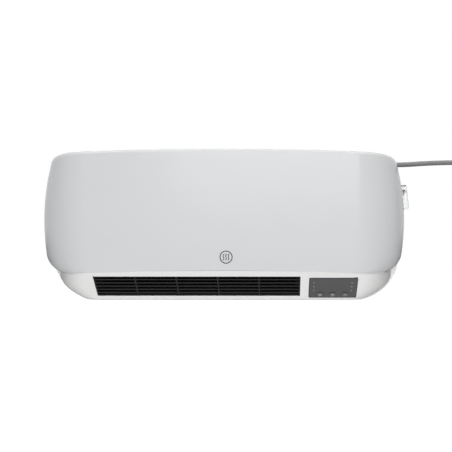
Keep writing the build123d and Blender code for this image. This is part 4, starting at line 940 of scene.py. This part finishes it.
# %% Floor
floor_drop = 0.62
floor_size = 24
floor_height = room_point(0, 0, 0).z - floor_drop
bpy.ops.mesh.primitive_plane_add(size=floor_size, location=(0, 0, floor_height))
floor = bpy.context.object
floor.name = "floor"
floor_paint = bpy.data.materials.new("matt_white_sheet")
floor_paint.use_nodes = True
tree = floor_paint.node_tree
tree.nodes.clear()
camera_ray = add_node(tree, "ShaderNodeLightPath").outputs["Is Camera Ray"]
floor_glow = add_node(tree, "ShaderNodeEmission", inputs={"Strength": camera_ray})
floor_body = add_node(tree, "ShaderNodeBsdfDiffuse", inputs={"Color": paint("#F2F2F2")})
floor_sum = add_node(
    tree,
    "ShaderNodeAddShader",
    inputs={0: floor_glow.outputs[0], 1: floor_body.outputs[0]},
)
add_node(tree, "ShaderNodeOutputMaterial", inputs={"Surface": floor_sum.outputs[0]})
floor.data.materials.append(floor_paint)
bpy.context.scene.view_settings.view_transform = "Standard"
print("the floor lies", floor_drop, "m below the heater")

# %% [markdown]
# ## Finishes
# Each finish starts from what the real part is made of. Three things are shared by them all: a
# colour that drifts a little over the surface, a gloss that isn't quite even, and a fine relief
# from the mould or the tool. Patterns are placed by Object coordinates, in real millimetres, so
# they stay on the part from every side.

# %% The bones of a finish


def new_finish(name):
    """An empty finish: the material, its node tree, its shader and its object coordinates."""
    finish = bpy.data.materials.new(name)
    finish.use_nodes = True
    tree = finish.node_tree
    tree.nodes.clear()
    shader = add_node(tree, "ShaderNodeBsdfPrincipled")
    add_node(tree, "ShaderNodeOutputMaterial", inputs={"Surface": shader.outputs[0]})
    place = add_node(tree, "ShaderNodeTexCoord")
    return finish, tree, shader, place.outputs["Object"]


def blotches(tree, place, size, detail=2.0):
    """Cloudy patches of a size in millimetres, from 0 to 1."""
    noise = add_node(
        tree,
        "ShaderNodeTexNoise",
        inputs={"Vector": place, "Scale": 1 / (size * mm), "Detail": detail},
    )
    return noise.outputs["Fac"]


def between(tree, share, low, high):
    """A number that goes from low to high with a pattern."""
    ranged = add_node(
        tree,
        "ShaderNodeMapRange",
        inputs={"Value": share, "To Min": low, "To Max": high},
    )
    return ranged.outputs[0]


def tone(tree, share, first, second):
    """A colour that goes from the first hex value to the second with a pattern."""
    mixed = add_node(
        tree,
        "ShaderNodeMix",
        {"data_type": "RGBA"},
        {0: share, 6: paint(first), 7: paint(second)},
    )
    return mixed.outputs[2]


def relief(tree, pattern, depth):
    """Bumps of a depth in millimetres where the pattern is high."""
    bump = add_node(
        tree,
        "ShaderNodeBump",
        inputs={"Height": pattern, "Distance": depth * mm, "Strength": 1.0},
    )
    return bump.outputs["Normal"]


def finish_surface(tree, shader, colour, rough, normal):
    """Link a finish's three patterns to its shader."""
    tree.links.new(colour, shader.inputs["Base Color"])
    tree.links.new(rough, shader.inputs["Roughness"])
    tree.links.new(normal, shader.inputs["Normal"])


finishes = {}
print("the bones of a finish are ready")

# %% [markdown]
# ### Moulded plastics
# Most of the heater is injection moulded. ABS comes glossy from a polished mould and satin from
# a spark-eroded one, whose fine pits are a few thousandths to hundredths of a millimetre deep.
# The function draws both: the grain's size and depth set how polished the mould was.

# %% Moulded plastic
tone_patch = 60.0
gloss_patch = 14.0
plastic_ior = 1.53


def moulded(slot, name, light, dark, gloss, grain, depth, specular=0.5, uneven=0.04):
    """A moulded plastic with drifting tone, uneven gloss and the mould's grain."""
    finish, tree, shader, place = new_finish(name)
    colour = tone(tree, blotches(tree, place, tone_patch), light, dark)
    rough = between(tree, blotches(tree, place, gloss_patch), gloss - uneven, gloss + uneven)
    finish_surface(tree, shader, colour, rough, relief(tree, blotches(tree, place, grain), depth))
    shader.inputs["IOR"].default_value = plastic_ior
    shader.inputs["Specular IOR Level"].default_value = specular
    finishes[slot] = finish


# Polished ABS, white like the lower frame, painted light grey as shade: a soft sheen that follows
# the curve
moulded(
    "cover_plastic", "polished_abs_painted_shade", "#D9DADB", "#D8D9DA", 0.22, 6.0, 0.0006, 0.22, uneven=0.01
)
# White ABS from a finely eroded mould: brighter and less glossy
moulded(
    "housing_plastic", "satin_white_abs", "#F8F8F7", "#F6F6F5", 0.34, 0.9, 0.003, 0.35, uneven=0.02
)
# Heat-resistant black for the outlet, satin so that its slats catch a little light
moulded("grille_plastic", "satin_black_pbt", "#2A2A2B", "#252526", 0.5, 0.7, 0.006, 0.3)
# Panel and keys: dark grey with a fine leather-like erosion, and smoother where fingers press
moulded("panel_plastic", "textured_grey_abs", "#575758", "#525253", 0.5, 0.6, 0.02)
moulded("button_plastic", "textured_key_abs", "#626263", "#5E5E5F", 0.4, 0.5, 0.008)
# Acetal plungers behind the keys: a waxy red
moulded("plunger_plastic", "red_acetal", "#B4382E", "#A53028", 0.35, 0.6, 0.01)
# Small black switches and the terminal block: dull, with a visible grain
moulded("black_plastic", "black_nylon", "#242424", "#1C1C1C", 0.45, 0.6, 0.015)
# Relays in their usual blue case, quite glossy
moulded("blue_plastic", "blue_relay_pbt", "#1F4FA0", "#1B458E", 0.3, 0.8, 0.008)
# The rocker switch's own frame: off-white and slightly waxy
moulded("switch_plastic", "white_nylon", "#EDEDEC", "#E4E4E2", 0.4, 0.7, 0.012)
# The lead's tie: black nylon with a soft sheen
moulded("tie_plastic", "black_tie_nylon", "#2B2B2C", "#222223", 0.38, 0.8, 0.01)
print(len(finishes), "moulded plastics")

# %% [markdown]
# ### Clear and deeply coloured plastics
# The boot over the switch is clear soft PVC. It is so thin that its two surfaces nearly cancel
# each other's bending of the light, so a low refractive index draws it best. The rocker under
# it is deep red and lets no light through, the small marks beside the keys are frosted light
# pipes, and a capacitor inside has a dipped yellow skin.

# %% Clear plastics
tint_patch = 9.0
clear_patch = 5.0
clear_uneven = 0.06
clear_ior = 1.49
thin_boot_ior = 1.2


def clear_plastic(slot, name, first, second, gloss, clearness, grain, depth, ior=clear_ior):
    """A plastic with its clearness, its tint, its gloss and the mould's faint waves."""
    finish, tree, shader, place = new_finish(name)
    colour = tone(tree, blotches(tree, place, tint_patch), first, second)
    rough = between(tree, blotches(tree, place, clear_patch), gloss, gloss + clear_uneven)
    finish_surface(tree, shader, colour, rough, relief(tree, blotches(tree, place, grain), depth))
    shader.inputs["Transmission Weight"].default_value = clearness
    shader.inputs["IOR"].default_value = ior
    finishes[slot] = finish


clear_plastic(
    "boot_clear", "clear_soft_pvc", "#FDFEFE", "#F9FBFB", 0.03, 1.0, 4.0, 0.01, thin_boot_ior
)
clear_plastic("rocker_plastic", "red_polycarbonate", "#5A1210", "#4C0F0D", 0.3, 0.0, 2.0, 0.01)
clear_plastic("light_pipe", "frosted_light_pipe", "#D8D8D4", "#CCCCC8", 0.2, 0.1, 0.5, 0.01)
clear_plastic("yellow_film", "dipped_yellow_film", "#D8A81C", "#C99A16", 0.18, 0.0, 2.5, 0.03)
print(len(finishes), "finishes so far")

# %% [markdown]
# ### Rubber, jackets and ink
# The lead's PVC jacket and the moulded plug are matt and slightly uneven, because they are
# extruded or moulded hot. The inner leads have a silicone jacket in red, which shows only
# through the slots. The ring on the cover is pad-printed: thin ink with a very fine stipple.
# The heater's end caps are a plastic filled with glass fibre, which makes them dull and rough.

# %% Rubber and ink
moulded("cord_jacket", "grey_pvc_jacket", "#7A7A7C", "#707072", 0.42, 1.6, 0.03)
moulded("plug_rubber", "grey_pvc_moulding", "#7C7C7E", "#727274", 0.5, 0.8, 0.03)
moulded("wire_jacket", "silicone_jacket", "#9A3A30", "#8A3028", 0.5, 1.2, 0.02)
moulded("mark_ink", "pad_printed_ink", "#1E1E20", "#1A1A1C", 0.45, 0.25, 0.004)
moulded("heater_cap_plastic", "glass_filled_pps", "#33312E", "#262422", 0.55, 0.5, 0.03)
print(len(finishes), "finishes so far")

# %% [markdown]
# ### Metals
# The blower's housing is galvanised sheet, whose zinc freezes in flakes some millimetres wide.
# Shafts are ground, so their scratches run round them. The fan is pressed aluminium with faint
# rolling lines along the strip, and the heater's aluminium fins have the same lines, painted near
# black as the shade deep inside the outlet.
# A pattern is stretched along a direction by scaling that axis down.

# %% Metals
metal_detail = 4.0
metal_polish, metal_wear = 0.06, 0.08


def metal(slot, name, light, dark, gloss, flake, depth, stretch=(1.0, 1.0, 1.0), cells=False):
    """A metal whose flakes or scratches change its tone and gloss."""
    finish, tree, shader, place = new_finish(name)
    laid = add_node(tree, "ShaderNodeMapping", inputs={"Vector": place, "Scale": stretch})
    if cells:
        flakes = add_node(
            tree,
            "ShaderNodeTexVoronoi",
            inputs={"Vector": laid.outputs[0], "Scale": 1 / (flake * mm)},
        )
        split = add_node(tree, "ShaderNodeSeparateColor", inputs={0: flakes.outputs["Color"]})
        pattern = split.outputs[0]
    else:
        pattern = blotches(tree, laid.outputs[0], flake, metal_detail)
    colour = tone(tree, pattern, light, dark)
    rough = between(tree, pattern, gloss - metal_polish, gloss + metal_wear)
    finish_surface(tree, shader, colour, rough, relief(tree, pattern, depth))
    shader.inputs["Metallic"].default_value = 1.0
    finishes[slot] = finish


along_x = (0.05, 1.0, 1.0)
round_x = (1.0, 0.05, 0.05)
across_x = (1.0, 0.02, 0.02)
along_z = (1.0, 1.0, 0.05)
metal("galvanised_steel", "zinc_spangle", "#8B8E90", "#777A7C", 0.42, 5.0, 0.004, cells=True)
metal("fan_aluminium", "pressed_aluminium", "#C9CBCD", "#B4B6B8", 0.3, 0.8, 0.004, along_x)
# The heater's fins are painted near black, as shade inside the outlet
metal("heater_fins", "aluminium_fins_painted_shade", "#2C2D2F", "#232426", 0.5, 0.6, 0.006, along_x)
metal("shaft_steel", "ground_steel", "#B9BABB", "#9D9E9F", 0.24, 0.3, 0.003, round_x)
# Screws are zinc plated: pale, bright and even
metal("screw_steel", "zinc_plated_steel", "#BDBFC1", "#A3A6A8", 0.3, 0.5, 0.004)
# The motor's core is a stack of sheets along x, so its lines run across that direction
metal("lamination_steel", "stacked_laminations", "#6B6C6D", "#4B4C4D", 0.45, 0.5, 0.03, across_x)
# The bearing is bronze powder pressed and soaked in oil: dull and full of pores
metal("sintered_bronze", "oiled_sintered_bronze", "#A9834A", "#8A6A3A", 0.5, 0.3, 0.02)
# Tabs, terminals and the heat protection's cases are thinly tinned brass: a pale gold
metal("tab_brass", "tinned_brass", "#D2C08A", "#BCA972", 0.3, 0.4, 0.004)
# The plug's pins are drawn along their length and plated
metal("pin_nickel", "nickel_plated_brass", "#D6D4CE", "#C3C1BA", 0.18, 0.3, 0.002, along_z)
print(len(finishes), "finishes so far")

# %% [markdown]
# ### Winding and circuit board
# The motor's winding is wrapped in amber tape, whose turns show every 7.5 mm or so. The circuit
# boards are glass-fibre laminate under a green solder mask, and the weave shows faintly. Both
# are bands of the Wave Texture, and one helper finds the scale that gives a real pitch.

# %% Banded finishes
axis_phase = 20
diagonal_phase = 10
tape_pitch = 7.54
tape_relief = 0.12
weave_pitch = 0.377
weave_relief = 0.01


def wave_scale(pitch, phase):
    """The Wave Texture's scale for bands a pitch in millimetres apart, from its own phase."""
    return 2 * math.pi / (phase * pitch * mm)


def banded(slot, name, settings, inputs, colours, gloss, depth, ior):
    """A finish whose tone, gloss and relief follow one set of bands."""
    finish, tree, shader, place = new_finish(name)
    bands = add_node(
        tree, "ShaderNodeTexWave", {"wave_type": "BANDS", **settings}, {"Vector": place, **inputs}
    ).outputs["Fac"]
    rough = between(tree, bands, *gloss)
    finish_surface(tree, shader, tone(tree, bands, *colours), rough, relief(tree, bands, depth))
    shader.inputs["IOR"].default_value = ior
    finishes[slot] = finish


banded(
    "coil_tape",
    "amber_winding_tape",
    {"bands_direction": "DIAGONAL", "wave_profile": "SAW"},
    {"Scale": wave_scale(tape_pitch, diagonal_phase), "Distortion": 0.6},
    ("#C58A2E", "#A86F1E"),
    (0.22, 0.34),
    tape_relief,
    ior=1.5,
)
banded(
    "circuit_board",
    "green_solder_mask",
    {"bands_direction": "X"},
    {"Scale": wave_scale(weave_pitch, axis_phase), "Distortion": 1.5, "Detail": 2.0},
    ("#1F6B3A", "#195A30"),
    (0.28, 0.4),
    weave_relief,
    ior=1.55,
)
print(len(finishes), "finishes in all")

# %% [markdown]
# ## Dressing
# The frame's record names a material slot for every node, so one loop gives each node its
# finish. The pieces modelled in this lesson take theirs from a short list.

# %% Dress every piece
for subpart in frame["record"]["subparts"]:
    node = frame["nodes"][subpart["node"]]
    node.material_slots[0].material = finishes[subpart["material_slot"]]
dressed = [
    ([mains_lead], "cord_jacket"),
    ([cover], "cover_plastic"),
    ([bowl], "housing_plastic"),
    (keys, "button_plastic"),
    (signs, "light_pipe"),
    # The crescents above the keys use this black as painted shade
    ([border, key_shade_crescents], "grille_plastic"),
]
for pieces, slot in dressed:
    for piece in pieces:
        piece.data.materials.clear()
        piece.data.materials.append(finishes[slot])

# %% [markdown]
# ## Update
# The view layer is brought up to date.

# %% Update the view layer
bpy.context.view_layer.update()
